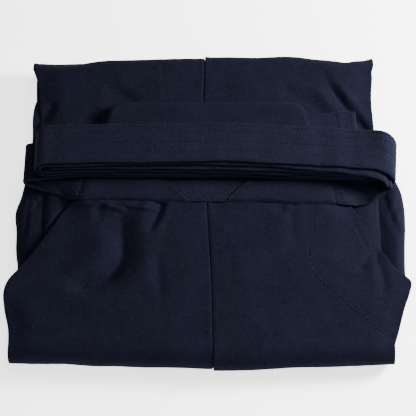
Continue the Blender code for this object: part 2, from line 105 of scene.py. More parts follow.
# Outline of the back panels: y, left edge x, right edge x.
WAIST_RUN = (
    (-158, -182, 171.5), (-144, -183.5, 176), (-122, -188, 182), (-104, -189.5, 188),
    (-94, -187, 189.5), (-80, -177.5, 176.5), (-58, -163, 164), (-35, -148, 153),
    (-20, -138, 144.5), (-8.6, -127, 138),
)
UNDER_RUN = (
    (-158, -182, 171.5), (-95, -182.5, 185), (-50, -180, 184.5), (0, -182, 184),
    (24, -178, 176), (64, -175, 165.5), (110, -174, 165), (158, -177, 170),
)
TOP_RUN = (
    (16, -170, 168), (60, -168.5, 166), (94, -166, 165.5), (112, -168.5, 165),
    (135, -170.5, 166), (148, -173.5, 167), (158, -177, 170),
)
# Place of the centre pleat's edge: y, x on the waist run, x on the top run.
CENTRE_EDGE = ((-158, 6, 4), (-100, 5, 3), (-40, 2, 0), (0, 0, -3), (112, 0, -3), (158, 2, -2))
# How far each fold's centre moves along Y at an x: x, near fold, far fold.
FOLD_DRIFT_LEFT = (
    (-190, 4, -4), (-176, 3.9, -5.8), (-162, 3.7, -9), (-145, 3.5, -9.2), (-110, 2, -4),
    (-55, 0, -1), (30, -2, 0),
)
FOLD_DRIFT_RIGHT = (
    (-5, -3.2, 2), (45, -2.6, 1), (85, 0, 2), (116, 0.8, -2), (130, 1.3, -3.4),
    (142, 1.8, -5), (152, 2.2, -3.2), (162, 2.5, -2), (169, 2.8, 0.4), (190, 3.2, 1),
)

# The hidden layers: depth of each below the outer cloth, inset of its side edge.
LAYERS = ((5.2, 1.2), (7.25, 0.2), (9.3, 3.0), (11.35, 0.4), (13.2, 2.6))
LAYER_DRIFT = 0.6           # share of the outer cloth's drift that they follow
LAYER_EDGE_COLUMNS = np.array([0.0, 0.4, 1.0, 2.0, 4.0, 8.0, 16.0])
NARROW_ABOVE = 8.7          # layers less deep than this stop beside the front panels
NARROW_HALF = 101.0         # and have this half width there
CREASE_ROOM = 2.3           # how deep a crease goes before the layers below sink with it
# Sides of the hidden layers: y, left x, right x.
LAYER_SIDES = (
    (-163, -175, 166), (-140, -178, 170), (-116, -181, 175), (-98, -181, 179),
    (-80, -176.5, 180), (-54, -178, 180), (-6, -180, 181), (14, -175, 179),
    (30, -173, 174), (72, -174.5, 163), (98, -175.5, 162), (114, -173.5, 162.5),
    (130, -168, 163), (160, -172, 165),
)

# Front panels seen through the side slits: profile x, z of the middle of the cloth.
FRONT_LEFT_PROFILE = (
    (-106, 24.6), (-130, 24.7), (-155.5, 24.6), (-156.9, 23.7), (-155.5, 22.8),
    (-133, 22.8), (-131.6, 21.9), (-133, 21), (-157, 21.4), (-160, 22.6), (-165, 22.9),
    (-172, 22.2), (-178.5, 20.4), (-183.2, 17.6), (-185.6, 14), (-184.6, 11), (-181.5, 9.4),
)
FRONT_RIGHT_PROFILE = (
    (106, 24.6), (135, 24.7), (163.5, 24.6), (164.9, 23.7), (163.5, 22.8), (141, 22.8),
    (139.6, 21.9), (141, 21), (166.2, 20.8), (169, 21.7), (172.5, 22.9), (177, 24.2),
    (183, 25), (188.8, 22.6), (191.2, 16), (189.6, 10.4),
)
FRONT_UPPER_LAYER = 53.5    # flat width of the left panel above its side pleat
# How the outer part of each front panel moves along X: y, left, right.
FRONT_DRIFT = (
    (-114, 0, -11), (-90, 1, -5), (-76, 5.5, -4.5), (-55, 3, -3.5), (-30, 1, -0.5),
    (-8, 0, 0), (8, 4, -2.5), (24, 7, -8),
)
FRONT_DRIFT_FROM = {FRONT_LEFT: -150.0, FRONT_RIGHT: 160.0}

# Back board and what is sewn on it.
BOARD_MIDDLE = 33.0         # height of the middle of the board
BOARD_THICK = 2.6
COVER_TOP = 36.8
COVER_CLOTH = 1.2
COVER_ROLL_WIDTH = 4.0      # how far in the cover rolls down to the board's outer edge
COVER_ROLL_DROP = 0.9
COVER_TUCK_DROP = 2.2       # how far it goes down at the waist seam
BOARD_NEAR_HALF = 125.0
BOARD_FAR_HALF = 94.0
BOARD_NEAR_Y = -8.0
BOARD_FAR_Y = 105.0
BOARD_SLANT = -0.025        # how the waist seam's line runs across the garment
BOARD_CORNER = 11.0
BOARD_SIDE_COLUMNS = 30
NOTCH_COLUMNS = 26
NOTCH_NEAR_LEFT = -19.0     # the cut-out at the board's near edge
NOTCH_NEAR_RIGHT = 17.0
NOTCH_FAR_Y = 27.0
NOTCH_SLOPE = 0.98
NOTCH_STRIP_UNDER = 3.5     # how far the strips' ends go below the cover
WAISTBAND_HALF = 126.0      # the front waist piece beneath the board
WAISTBAND_NEAR_Y = 11.0
WAISTBAND_FAR_Y = 45.0
WAISTBAND_Z = 29.85
WAISTBAND_WALL = 2.3
# The wavy seam along the board's near edge: x, y.
WAIST_SEAM = (
    (-126, -6.2), (-121, -8), (-108, -7.4), (-79, -7), (-60, -8.2), (-43, -8.8), (0, -8.9),
    (31, -9), (65, -9.3), (72, -10.6), (79, -11.6), (98, -11.6), (123, -11.2),
)

# The bundle of ties: x, lowest z, highest z.
BUNDLE = (
    (-178, 33.6, 57), (-150, 35, 57.8), (-126, 36.9, 57.9), (-118, 37.2, 58),
    (0, 37.2, 58.2), (66, 37.2, 57.8), (104, 37.2, 56), (118, 37.2, 55.6),
    (140, 36.6, 55), (168, 36, 54.4),
)
BUNDLE_LEVELS = 6
BUNDLE_NEAR_Y = 10.0
BUNDLE_RIGHT_X = 158.0
TIE_WALL = 2.95
TIE_WIDTH = 41.0
TIE_COLUMNS = np.array([0.0, 0.5, *np.arange(1.4, 40.0, 0.95), 40.5, TIE_WIDTH])
TIE_POINT_STEP = 2.4        # mesh rows along a tie
TIE_RUN_STEP = 8.0          # spacing of the path's points along a run
TURN_STEPS = 6
TIE_ROWS = (1.4, 9.4, 20.0, 30.6, 39.4)     # stitch rows along a tie, from its far edge
TIE_TIP_ROWS = (1.6, 39.4)                  # the same on the end beneath the board
# Near edges of the back ties' first stretches: x, y.
LIMB_LEFT_NEAR = ((-175.5, 13.5), (-162, 9.4), (-148, 4.4), (-136, -0.4), (-126, -5.2))
LIMB_RIGHT_NEAR = ((126, -10.5), (140, -9.5), (153, -6), (167, -3))

# Chance unevenness, a sum of waves: seed, shortest and longest wave, amount. An index
# added to the seed gives each piece of a kind its own.
CHANCE_WAVES = 9
WAVES = {
    "leg edge": (7, 40, 110, 0.5),
    "leg": (11, 34, 90, 0.3),
    "leg fine": (12, 11, 24, 0.06),
    "cover": (31, 26, 70, 0.13),
    "strip": (32, 16, 44, 0.05),
    "waistband": (35, 20, 60, 0.08),
    "pucker": (40, 22, 60, 2.2),
    "front": (51, 22, 60, 0.32),
    "front edge": (52, 28, 70, 0.5),
    "groove": (57, 5, 16, 0.16),
    "layer edge": (60, 45, 120, 0.9),
    "layer": (80, 30, 70, 0.16),
    "tie run": (90, 50, 140, 0.7),
    "tie wall": (101, 9, 26, 0.05),
}

# ---- creases
# A crease: width, depth, ridge, lean, sharp and its path of x, y on a run. It sinks by
# depth within width of the path, and the cloth beside it stands up by ridge. lean makes
# the side on the left of the path's direction steeper. sharp is 0 for a soft hollow and
# 1 for a V fold.
CREASES = {
    WAIST: (
        (19, 6, 1, -0.05, 0.75, (
            (-85, -15), (-83, -23), (-82, -31), (-81, -47), (-81, -64), (-86, -79),
            (-95, -88), (-108, -95), (-134, -105),
        )),
        (8.5, 2.9, 0.6, 0.3, 0.8, ((-43, -3), (-45, -14), (-48, -24), (-52, -33), (-58, -43))),
        (12, 2.5, 0.5, 0, 0.6, ((-84, -70), (-92, -84), (-103, -91), (-118, -97), (-134, -103))),
        (8, 1.2, 0.2, 0.1, 0.3, ((-48, -62), (-46, -83), (-44, -99), (-45, -112))),
        (7, 1, 0.3, 0, 0.6, ((-105, -12), (-104, -20), (-102, -30))),
        (8, 0.7, 0.2, 0, 0.3, ((79, -11), (81, -35), (82, -62))),
        (7, 0.8, 0.3, 0, 0.5, ((64, -9), (68, -14), (75, -15))),
        (7, 0.8, 0.2, 0, 0.3, ((97, -79), (104, -73), (114, -72))),
        (3, 0.45, 0.2, 0, 0.7, ((137, -18), (142, -33), (147, -46), (153, -61))),
        (7, 2.5, 0.3, 0.1, 0.6, ((170, -52), (163, -60), (155, -68), (147, -76), (140, -84))),
        (8, 1.6, 0.2, 0, 0.4, ((153, -60), (160, -70), (164, -82), (165, -96), (162, -112))),
        (4, 0.7, 0.3, 0.3, 0.7, ((160, -142), (168, -149), (176, -154))),
        (26, 1, 0.3, 0, 0, ((-172, -122), (-120, -136), (-70, -132))),
        (24, 0.8, 0.2, 0, 0, ((40, -118), (95, -132), (140, -126))),
    ),
    TOP: (
        (9.5, 3.3, 1, 0.25, 0.9, (
            (116, 148), (122, 137), (129, 127), (135, 117), (141, 107), (148, 95),
            (154, 83), (158, 70), (160, 58), (161, 44),
        )),
        (11, 1.8, 0.2, 0, 0.5, ((146, 104), (152, 93), (158, 80), (161, 66), (163, 46))),
        (12, 0.9, 0.3, 0.1, 0.3, ((68, 132), (83, 122), (99, 114), (112, 103), (122, 92))),
        (12, 1.4, 0.4, 0.2, 0.3, ((-104, 136), (-92, 126), (-83, 120), (-70, 110))),
        (9, 1.8, 0.3, 0, 0.3, ((-154, 124), (-158, 113), (-163, 101), (-168, 89))),
        (3.4, 0.25, 0.2, 0.5, 0.6, ((-46, 170), (-45, 150), (-43, 138), (-40, 112))),
        (16, 1.5, 0.3, 0.2, 0.3, ((-126, 100), (-112, 90), (-104, 76), (-102, 60))),
    ),
    UNDER: (
        (14, 1.6, 0, 0.3, 0.2, ((-60, -90), (-72, -40), (-96, 6))),
        (10, 1.2, 0, 0.2, 0.2, ((88, 96), (104, 52), (98, 10))),
        (3, 0.6, 0, 0.4, 0.2, ((-44, 150), (-41, 60), (-43, -40))),
        (9, 1, 0, 0.2, 0.2, ((128, -60), (146, -92), (152, -130))),
        (12, 1, 0, 0, 0.2, ((-150, 60), (-132, 104), (-128, 140))),
    ),
    FRONT_LEFT: (
        (3.4, 0.9, 0.2, 0, 0.7, ((-175, 24), (-174, 12), (-173, -5), (-175, -30), (-176, -52))),
        (5, 0.7, 0.3, 0.3, 0.5, ((-174, 17), (-169, 6), (-165, -6), (-163, -14))),
        (5, 0.7, 0.3, -0.3, 0.5, ((-158, 5), (-163, -4), (-168, -12), (-171, -18))),
    ),
    FRONT_RIGHT: (
        (5, 0.8, 0.3, 0.2, 0.5, ((171, 12), (174, -8), (180, -28), (186, -44))),
        (4, 0.7, 0.3, 0, 0.5, ((188, 4), (184, -10), (176, -22))),
    ),
}
CREASE_FADE = 0.22          # share of a crease's length over which each end fades

# Short wrinkles gathered along the waist seam: x from, x to, spacing, depth.
SEAM_PUCKERS = ((-126, -46, 12, 0.35), (-46, 60, 19, 0.16), (60, 130, 15, 0.35))
SEAM_PITS = (-81.4, -64.0, -48.6, -104.5)     # deeper places of the waist seam
# Small folds of cloth below the seam: height, and x, y along each fold's near edge.
SCALLOPS = (
    (2.2, ((-133, -12.5), (-119, -15), (-109, -16.6), (-98, -16))),
    (2.7, ((-109, -12), (-101, -15), (-94, -18), (-86, -20.2), (-75, -19.4))),
    (2.4, ((-85, -15.6), (-75, -17), (-66, -18), (-56, -19.8), (-43, -18.6))),
)

# ---- stitches
# Stitch rows laid on finished pieces: x, y along each row. On the legs they hold the side
# slits' facings and the centre pleat.
SEWN_ROWS = {
    "back_leg_left": ((
        (-103, -20), (-99, -27), (-96, -37), (-95, -53), (-94, -65), (-96, -76),
        (-107, -87), (-131, -110), (-154, -133), (-174, -151),
    ),),
    "back_leg_right": (
        (
            (105, -20), (103, -39), (100, -51), (97, -63), (98, -78), (106, -91),
            (117, -101), (139, -124), (164, -146), (172, -154),
        ),
        ((2.2, -10), (3.4, -25), (4.4, -40), (6, -70), (7.4, -100), (8.4, -156)),
    ),
    "front_left_panel": (((-173, -23), (-176, -28), (-181, -35.5)),),
    "front_right_panel": (
        ((161.6, 8), (161.8, -12), (161.8, -34), (161, -62)),
        ((168, -1.5), (171, -8.5), (175.5, -15.5), (181, -24)),
    ),
    "koshi_cover": (
        ((-120.5, 14), (-122, 2), (-122.6, -5)),
        ((19.8, -6.8), (24, -2.6), (33, 6.6), (50, 24)),
        ((-21.8, -6.8), (-26, -2.6), (-35, 6.6), (-52, 24)),
    ),
    "himo_back_center": (((-36, 9.2), (34, 9.4)), ((-27, 0.6), (24, 0.8))),
}
# The same across the ties, beside the rows that run along them.
TIE_END_ROWS = {
    "himo_back_left": (((-128, 13), (-130, 6), (-131, 0.5)),),
    "himo_back_right": (((127.6, 13), (128.6, 4), (130, -7)),),
    "himo_front_left": (((143.6, 92.5), (143.8, 78), (144, 60)),),
}
# Seeds of the chance in rows laid on pieces, along the ties and across the ties.
SEWN_SEED = 200
TIE_ROW_SEED = 300
TIE_END_SEED = 400
STITCH_PITCH = 3.3
STITCH_RADIUS = 0.4
STITCH_SIDES = 5
STITCH_RINGS = ((-0.3, 0.85), (0.0, 1.0), (0.3, 0.85))      # share along, girth
# The needle holes are small nearly black forms: painted shade, not openings in the cloth.
HOLE_SIZE = 1.25
HOLE_HEIGHT = 0.16
HOLE_RINGS = ((-0.26, 0.93), (0.26, 0.93))

# ---- finishes
# Cloths: material slot, dark and light yarn, pitch of the twill's ribs, sheen.
CLOTHS = (
    ("navy_twill", (0.0012, 0.0013, 0.0028), (0.0063, 0.0068, 0.0150), 0.85, 0.005),
    ("board_twill", (0.0012, 0.0013, 0.0029), (0.0070, 0.0076, 0.0165), 0.8, 0.005),
    # The tie twill is the legs' cloth with lighter yarn colours: painted light that lifts the ties out of
    # the shade in the bundle.
    ("tie_twill", (0.0014, 0.0015, 0.0033), (0.0078, 0.0085, 0.0184), 0.8, 0.006),
)
# Threads and the painted shade in needle holes: name, dark, light, specular level.
THREADS = (
    ("navy_thread", (0.0060, 0.0090, 0.0150), (0.0170, 0.0250, 0.0380), 0.03),
    ("quiet_thread", (0.0044, 0.0064, 0.0112), (0.0135, 0.0190, 0.0310), 0.02),
    ("needle_hole_shade", (0.0001, 0.0001, 0.0002), (0.0003, 0.0003, 0.0005), 0.0),
    ("tie_hole_shade", (0.0006, 0.0006, 0.0012), (0.0012, 0.0013, 0.0026), 0.0),
)


# ---- small helpers
def place(points):
    """The layout's millimetres to the frame's metres."""
    return (np.asarray(points, float) - CENTRE) * MM


def stack(*parts):
    """Arrays side by side in a new last axis, each spread to the common shape."""
    return np.stack(np.broadcast_arrays(*parts), axis=-1)


def soft_step(value):
    """0 below 0, 1 above 1, smooth between."""
    value = np.clip(value, 0.0, 1.0)
    return value * value * (3.0 - 2.0 * value)


def bell(distance, reach):
    """1 at no distance, falling smoothly to 0 beyond the reach."""
    return np.exp(-((distance / reach) ** 2))


def window(value, start, end, fade_in, fade_out):
    """1 from start to end and 0 outside, with a smooth fade inside each."""
    return soft_step((value - start) / fade_in) * soft_step((end - value) / fade_out)


def spaced(start, end, step):
    """Evenly spaced places from start to end, about a step apart."""
    return np.linspace(start, end, max(2, round(abs(end - start) / step) + 1))


def unit(vectors):
    """Vectors at length 1."""
    return vectors / np.maximum(np.linalg.norm(vectors, axis=1, keepdims=True), 1e-9)


def curve_through(table, where, column):
    """A table's column at places, on a smooth curve through the table's rows."""
    rows = np.array(table, float)
    places = rows[:, 0]
    values = rows[:, column]
    slopes = np.gradient(values, places)
    where = np.clip(where, places[0], places[-1])
    low = np.clip(np.searchsorted(places, where, side="right") - 1, 0, len(places) - 2)
    width = places[low + 1] - places[low]
    share = (where - places[low]) / width
    square = share * share
    cube = square * share
    return (
        values[low] * (2.0 * cube - 3.0 * square + 1.0)
        + slopes[low] * width * (cube - 2.0 * square + share)
        + values[low + 1] * (3.0 * square - 2.0 * cube)
        + slopes[low + 1] * width * (cube - square)
    )


def lengths_along(points):
    """Length of each span between points, and the length reached at each point."""
    spans = np.linalg.norm(np.diff(points, axis=0), axis=1)
    return spans, np.concatenate([[0.0], np.cumsum(spans)])


def unevenness(kind, u, v=0.0, index=0):
    """Smooth chance unevenness: a sum of waves with chance directions and lengths."""
    seed, shortest, longest, amount = WAVES[kind]
    chance = np.random.default_rng(seed + index)
    total = 0.0
    for _ in range(CHANCE_WAVES):
        length = chance.uniform(shortest, longest)
        angle = chance.uniform(0.0, math.tau)
        phase = chance.uniform(0.0, math.tau)
        along = u * math.cos(angle) + v * math.sin(angle)
        total = total + np.sin(math.tau * along / length + phase)
    return amount * total / math.sqrt(CHANCE_WAVES)


def path_distance(x, y, path):
    """Distance to a path, which side of it a place lies on, and the share along it."""
    path = np.array(path, float)
    spans, reached = lengths_along(path)
    best = np.full(np.shape(x), np.inf)
    side = np.zeros(np.shape(x))
    along = np.zeros(np.shape(x))
    for index, span in enumerate(spans):
        start = path[index]
        step = (path[index + 1] - start) / span
        dx = x - start[0]
        dy = y - start[1]
        on = np.clip(dx * step[0] + dy * step[1], 0.0, span)
        away = np.hypot(dx - on * step[0], dy - on * step[1])
        nearer = away < best
        best = np.where(nearer, away, best)
        side = np.where(nearer, np.sign(step[0] * dy - step[1] * dx), side)
        along = np.where(nearer, (reached[index] + on) / reached[-1], along)
    return best, side, along


def crease_height(run, x, y):
    """Height that the creases add to a run's surface."""
    height = np.zeros(np.shape(x))
    for width, depth, ridge, lean, sharp, path in CREASES[run]:
        away, side, along = path_distance(x, y, path)
        fade = window(along, 0.0, 1.0, CREASE_FADE, CREASE_FADE)
        width = width * (1.0 - lean * side)
        soft = bell(away, 0.55 * width)
        folded = (1.0 - np.clip(away / (1.15 * width), 0.0, 1.0)) ** 1.7
        trough = soft + sharp * (folded - soft)
        height += fade * (ridge * bell(away - 1.25 * width, 0.5 * width) - depth * trough)
    return height


def scallop_height(x, y):
    """Height of the small folds of cloth that hang over just below the waist seam."""
    height = np.zeros(np.shape(x))
    for rise, line in SCALLOPS:
        fade = window(x, line[0][0], line[-1][0], 7.0, 7.0)
        above = y - curve_through(line, x, 1)
        lip = soft_step(above / 2.8 + 0.4) * np.exp(-np.clip(above - 1.7, 0.0, None) / 4.5)
        height = np.maximum(height, rise * fade * lip)
    return height


def seam_groove(x, below):
    """Depth of the line where the leg cloth turns down into the waist seam."""
    left = soft_step((-30.0 - x) / 30.0)
    depth = 0.75 + 0.55 * left + unevenness("groove", x)
    for pit_x in SEAM_PITS:
        depth = depth + 0.9 * bell(x - pit_x, 1.5)
    return window(x, -128.0, 128.0, 5.0, 8.0) * depth * bell(below, 1.05)


def pucker_height(x, below):
    """Height of the short wrinkles below the waist seam."""
    height = np.zeros(np.shape(x))
    for index, (start, end, spacing, depth) in enumerate(SEAM_PUCKERS):
        wander = unevenness("pucker", x, index=index)
        wave = np.sin(math.tau * (x + wander + 0.35 * below) / spacing)
        height += window(x, start, end, 8.0, 8.0) * depth * wave * np.exp(-below / 9.0)
    return height


# ---- cloth meshes
def grid_quads(rows, columns, used=None):
    """Quads of a grid of points; used says which of its cells are cloth."""
    index = np.arange(rows * columns).reshape(rows, columns)
    quads = stack(index[:-1, :-1], index[:-1, 1:], index[1:, 1:], index[1:, :-1])
    return quads.reshape(-1, 4) if used is None else quads[used]


def surface_normals(points, quads):
    """Unit normal at each point of a quad mesh."""
    corners = points[quads]
    across = np.cross(corners[:, 2] - corners[:, 0], corners[:, 3] - corners[:, 1])
    normals = np.zeros_like(points)
    for corner in range(4):
        np.add.at(normals, quads[:, corner], across)
    return unit(normals)


def border(quads, count):
    """Directed edges that only one quad has: their start and end points."""
    starts = quads.ravel()
    ends = np.roll(quads, -1, axis=1).ravel()
    lone = ~np.isin(starts * count + ends, ends * count + starts)
    return starts[lone], ends[lone]


def thick_cloth(points, quads, wall):
    """Closed shell round a sheet's middle surface, with a rounded rim.

    Returns its vertices, its faces and, for each vertex, the point it came from and
    how far round the rim it lies from the upper side.
    """
    count = len(points)
    half = 0.5 * np.broadcast_to(wall, count)[:, None]
    normals = surface_normals(points, quads)
    starts, ends = border(quads, count)
    away = unit(np.cross(points[ends] - points[starts], normals[starts] + normals[ends]))
    outward = np.zeros_like(points)
    np.add.at(outward, starts, away)
    np.add.at(outward, ends, away)
    outward = unit(outward)
    rim = np.unique(starts)
    place_of = np.zeros(count, int)
    place_of[rim] = np.arange(len(rim))

    layers = [points + normals * half, points - normals * half]
    sources = [np.arange(count), np.arange(count)]
    around = [np.zeros(count), math.pi * half[:, 0]]
    levels = [(starts, ends)]
    for step in range(1, RIM_STEPS):
        angle = math.pi * step / RIM_STEPS
        bulge = normals[rim] * math.cos(angle) + outward[rim] * math.sin(angle)
        first = 2 * count + (step - 1) * len(rim)
        layers.append(points[rim] + half[rim] * bulge)
        sources.append(rim)
        around.append(angle * half[rim, 0])
        levels.append((first + place_of[starts], first + place_of[ends]))
    levels.append((count + starts, count + ends))
    faces = [quads, quads[:, ::-1] + count]
    for (start, end), (next_start, next_end) in zip(levels, levels[1:]):
        faces.append(stack(end, start, next_start, next_end))
    return tuple(np.concatenate(parts) for parts in (layers, faces, sources, around))


def make_mesh(name, vertices, faces, flat, material):
    """Smooth mesh object from the layout's points, with its flat sizes as weave UVs."""
    mesh = bpy.data.meshes.new(name)
    mesh.from_pydata(place(vertices).tolist(), [], [list(face) for face in faces])
    mesh.polygons.foreach_set("use_smooth", np.ones(len(mesh.polygons), bool))
    corner = np.zeros(len(mesh.loops), np.int32)
    mesh.loops.foreach_get("vertex_index", corner)
    layer = mesh.uv_layers.new(name=WEAVE)
    layer.data.foreach_set("uv", (flat[corner] * MM).ravel().astype(np.float32))
    mesh.materials.append(material)
    piece = bpy.data.objects.new(name, mesh)
    bpy.context.scene.collection.objects.link(piece)
    return piece


def join_shells(shells):
    """Several shells of vertices, faces and flat sizes as one."""
    vertices, faces, flats = [], [], []
    offset = 0
    for points, quads, flat in shells:
        vertices.append(points)
        faces.append(quads + offset)
        flats.append(flat)
        offset += len(points)
    return np.concatenate(vertices), np.concatenate(faces), np.concatenate(flats)


def cloth_shell(points, flat, wall, used=None):
    """Shell of cloth through a grid of points: its vertices, faces and flat sizes."""
    quads = grid_quads(*points.shape[:2], used)
    wall = np.broadcast_to(wall, points.shape[:2]).reshape(-1)
    vertices, faces, source, around = thick_cloth(points.reshape(-1, 3), quads, wall)
    kept = np.unique(faces)
    renumber = np.zeros(len(vertices), int)
    renumber[kept] = np.arange(len(kept))
    flat = flat.reshape(-1, 2)[source] + RIM_SHIFT * around[:, None]
    return vertices[kept], renumber[faces], flat[kept]


def stands_for(name, shell, finish):
    """Piece made of a shell, standing for the CAD node of its name."""
    material, slot = finish
    piece = make_mesh(name + "_cloth", *shell, material)
    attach(piece, "root")
    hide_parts(name)
    return piece


# ---- wrapped cloth
class WrapRows:
    """Rows of a mesh that goes round the package, from the waist seam on.

    y is each row's place, out_y and out_z the way out of the package there, run its
    run and along the flat length reached.
    """

    def __init__(self, shown_step, hidden_step, arc_steps):
        waist_rows = [WAIST_Y - step for step in SEAM_STEPS]
        waist_rows += list(spaced(waist_rows[-1], -FOLD_Y, shown_step))[1:]
        rows = [(y, 0.0, 1.0, WAIST) for y in waist_rows]
        arc = [(math.sin(angle), math.cos(angle))
               for angle in np.linspace(0.0, math.pi, arc_steps + 1)[1:]]
        rows += [(-FOLD_Y - FOLD_RADIUS * out, -out, up, NEAR) for out, up in arc]
        rows += [(y, 0.0, -1.0, UNDER) for y in spaced(-FOLD_Y, FOLD_Y, hidden_step)[1:]]
        rows += [(FOLD_Y + FOLD_RADIUS * out, out, -up, FAR) for out, up in arc]
        rows += [(y, 0.0, 1.0, TOP) for y in spaced(FOLD_Y, TOP_END_Y, shown_step)[1:]]
        self.y, self.out_y, self.out_z, self.run = np.array(rows).T[:, :, None]
        outline = np.hstack([self.y, FOLD_RADIUS * self.out_z])
        self.along = lengths_along(outline)[1][:, None]


def side_x(rows, column):
    """X of the back panels' left (1) or right (2) edge at each row."""
    on_waist, on_under, on_top = (
        curve_through(table, rows.y, column) for table in (WAIST_RUN, UNDER_RUN, TOP_RUN)
    )
    return np.where(rows.run <= NEAR, on_waist, np.where(rows.run == UNDER, on_under, on_top))


def centre_x(rows):
    """X of the centre pleat's edge at each row."""
    on_waist = curve_through(CENTRE_EDGE, rows.y, 1)
    on_top = curve_through(CENTRE_EDGE, rows.y, 2)
    return np.where(rows.run <= NEAR, on_waist, on_top)


def waist_rise(rows, x):
    """How far the panels stand above the fold's height, on the waist run only."""
    share = np.clip((WAIST_Y - rows.y) / (WAIST_Y + FOLD_Y), 0.0, 1.0)
    inward = soft_step((WAIST_RISE_FROM - np.abs(x)) / WAIST_RISE_OVER)
    rise = WAIST_RISE_SIDE + (WAIST_RISE - WAIST_RISE_SIDE) * inward
    return np.where(rows.run == WAIST, rise * (1.0 - share) ** 2, 0.0)


def seam_slant(rows, x):
    """Shift along Y that makes the rows near the waist seam follow its slant."""
    return BOARD_SLANT * x * soft_step((rows.y + 50.0) / 40.0) * soft_step(-rows.y / 5.0)


def fold_drift(table, rows, x):
    """Shift along Y that lets the folds and the waist seam run slightly crooked."""
    near = curve_through(table, x, 1) * soft_step((-40.0 - rows.y) / 90.0)
    far = curve_through(table, x, 2) * soft_step((rows.y - 40.0) / 90.0)
    return near + far + seam_slant(rows, x)


def wrapped_point(rows, x, depth, drift):
    """Points at a depth below the outer surface of the wrap, at x on each row."""
    y = rows.y + drift - depth * rows.out_y
    z = FOLD_RADIUS * (1.0 + rows.out_z) - depth * rows.out_z
    return stack(x, y, z)


def surface_height(rows, x, index):
    """Creases, wrinkles and unevenness of a back panel, as height above its form."""
    height = unevenness("leg", x, rows.along, index) + unevenness("leg fine", x, rows.along, index)
    for run in (WAIST, UNDER, TOP):
        height = height + np.where(rows.run == run, crease_height(run, x, rows.y), 0.0)
    below = np.clip(WAIST_Y - rows.y, 0.0, None)
    seam = pucker_height(x, below) + scallop_height(x, rows.y) - seam_groove(x, below)
    height = height + np.where(rows.run == WAIST, seam, 0.0)
    on_floor = np.minimum(height - 0.5, 0.0)
    return np.where(rows.run == UNDER, on_floor, height)


def settle_edge(rows, points, edge_distance):
    """Lets a free side edge sink on to the layers inside it, and keeps all above the floor."""
    edge = soft_step(1.0 - edge_distance / SETTLE_WIDTH) ** 1.3
    on_waist = 0.3 + SETTLE_DROOP * soft_step((-106.0 - rows.y) / 22.0)
    on_top = SETTLE_DROOP * soft_step((rows.y - 20.0) / 30.0)
    droop = np.where(rows.run <= NEAR, on_waist, on_top)
    level = points[..., 2] / (2.0 * FOLD_RADIUS)
    points[..., 2] += edge * (SETTLE_LIFT * (1.0 - level) - droop * level)
    points[..., 2] = np.maximum(points[..., 2], 0.5 * CLOTH)


def leg_shell(rows, x, depth, drift_table, edge_distance):
    """Shell of a back panel, from its mesh columns and their depth below the form."""
    points = wrapped_point(rows, x, depth + 0.5 * CLOTH, fold_drift(drift_table, rows, x))
    points[..., 2] += waist_rise(rows, x)
    settle_edge(rows, points, edge_distance)
    return cloth_shell(points, stack(x, rows.along), CLOTH)


def build_back_leg_left(finish):
    """Left back panel, with a strip that goes on below the centre pleat."""
    rows = WrapRows(*LEG_MESH)
    edge = centre_x(rows)
    left = side_x(rows, 1) + unevenness("leg edge", rows.along)
    shares = np.linspace(0.0, 1.0, 88) ** 0.93
    x = np.hstack([left + (edge - TUCK_SLOPE - left) * shares, edge + TUCK_COLUMNS])
    tucked = TUCK_DEPTH * soft_step((x - edge + TUCK_SLOPE) / (TUCK_SLOPE - 0.9))
    height = surface_height(rows, x, index=0) * soft_step((edge - 1.0 - x) / 10.0)
    shell = leg_shell(rows, x, tucked - height, FOLD_DRIFT_LEFT, x - left)
    return stands_for("back_leg_left", shell, finish)


def build_back_leg_right(finish):
    """Right back panel, whose edge is the centre pleat's fold."""
    rows = WrapRows(*LEG_MESH)
    edge = centre_x(rows)
    right = side_x(rows, 2) + unevenness("leg edge", rows.along, index=1)
    x = edge + (right - edge) * np.linspace(0.0, 1.0, 94)
    height = surface_height(rows, x, index=10) * soft_step((x - edge) / 6.0)
    shell = leg_shell(rows, x, -height, FOLD_DRIFT_RIGHT, right - x)
    return stands_for("back_leg_right", shell, finish)


def layer_columns(rows, index, inset, narrow):
    """Mesh columns of a hidden layer, close together at its side edges."""
    left = curve_through(LAYER_SIDES, rows.y, 1) + inset
    left = left + unevenness("layer edge", rows.along, index=index)
    right = curve_through(LAYER_SIDES, rows.y, 2) - inset
    right = right - unevenness("layer edge", rows.along, index=10 + index)
    left = left + narrow * (-NARROW_HALF - left)
    right = right + narrow * (NARROW_HALF - right)
    edge = LAYER_EDGE_COLUMNS
    middle = left + edge[-1] + (right - left - 2.0 * edge[-1]) * np.linspace(0.0, 1.0, 9)
    return np.hstack([left + edge[:-1], middle, right - edge[-2::-1]])


def build_folded_layers(finish):
    """Nested layers of cloth inside the wrap, whose edges show at the sides."""
    shells = []
    rows = WrapRows(*LAYER_MESH)
    for index, (depth, inset) in enumerate(LAYERS):
        high = depth < NARROW_ABOVE
        narrow = high * (rows.run == WAIST) * soft_step((rows.y + 128.0) / 12.0)
        x = layer_columns(rows, index, inset, narrow)
        ruffle = unevenness("layer", x, rows.along, index)
        drift = 0.5 * (fold_drift(FOLD_DRIFT_LEFT, rows, x) + fold_drift(FOLD_DRIFT_RIGHT, rows, x))
        if high:
            pressed = np.minimum(crease_height(WAIST, x, rows.y) + CREASE_ROOM, 0.0)
            ruffle = ruffle + np.where(rows.run == WAIST, pressed, 0.0)
        points = wrapped_point(rows, x, depth - ruffle, seam_slant(rows, x) + LAYER_DRIFT * drift)
        if high:
            points[..., 2] += waist_rise(rows, x)
        shells.append(cloth_shell(points, stack(x, rows.along), LAYER_CLOTH))
    return stands_for("folded_layers", join_shells(shells), finish)


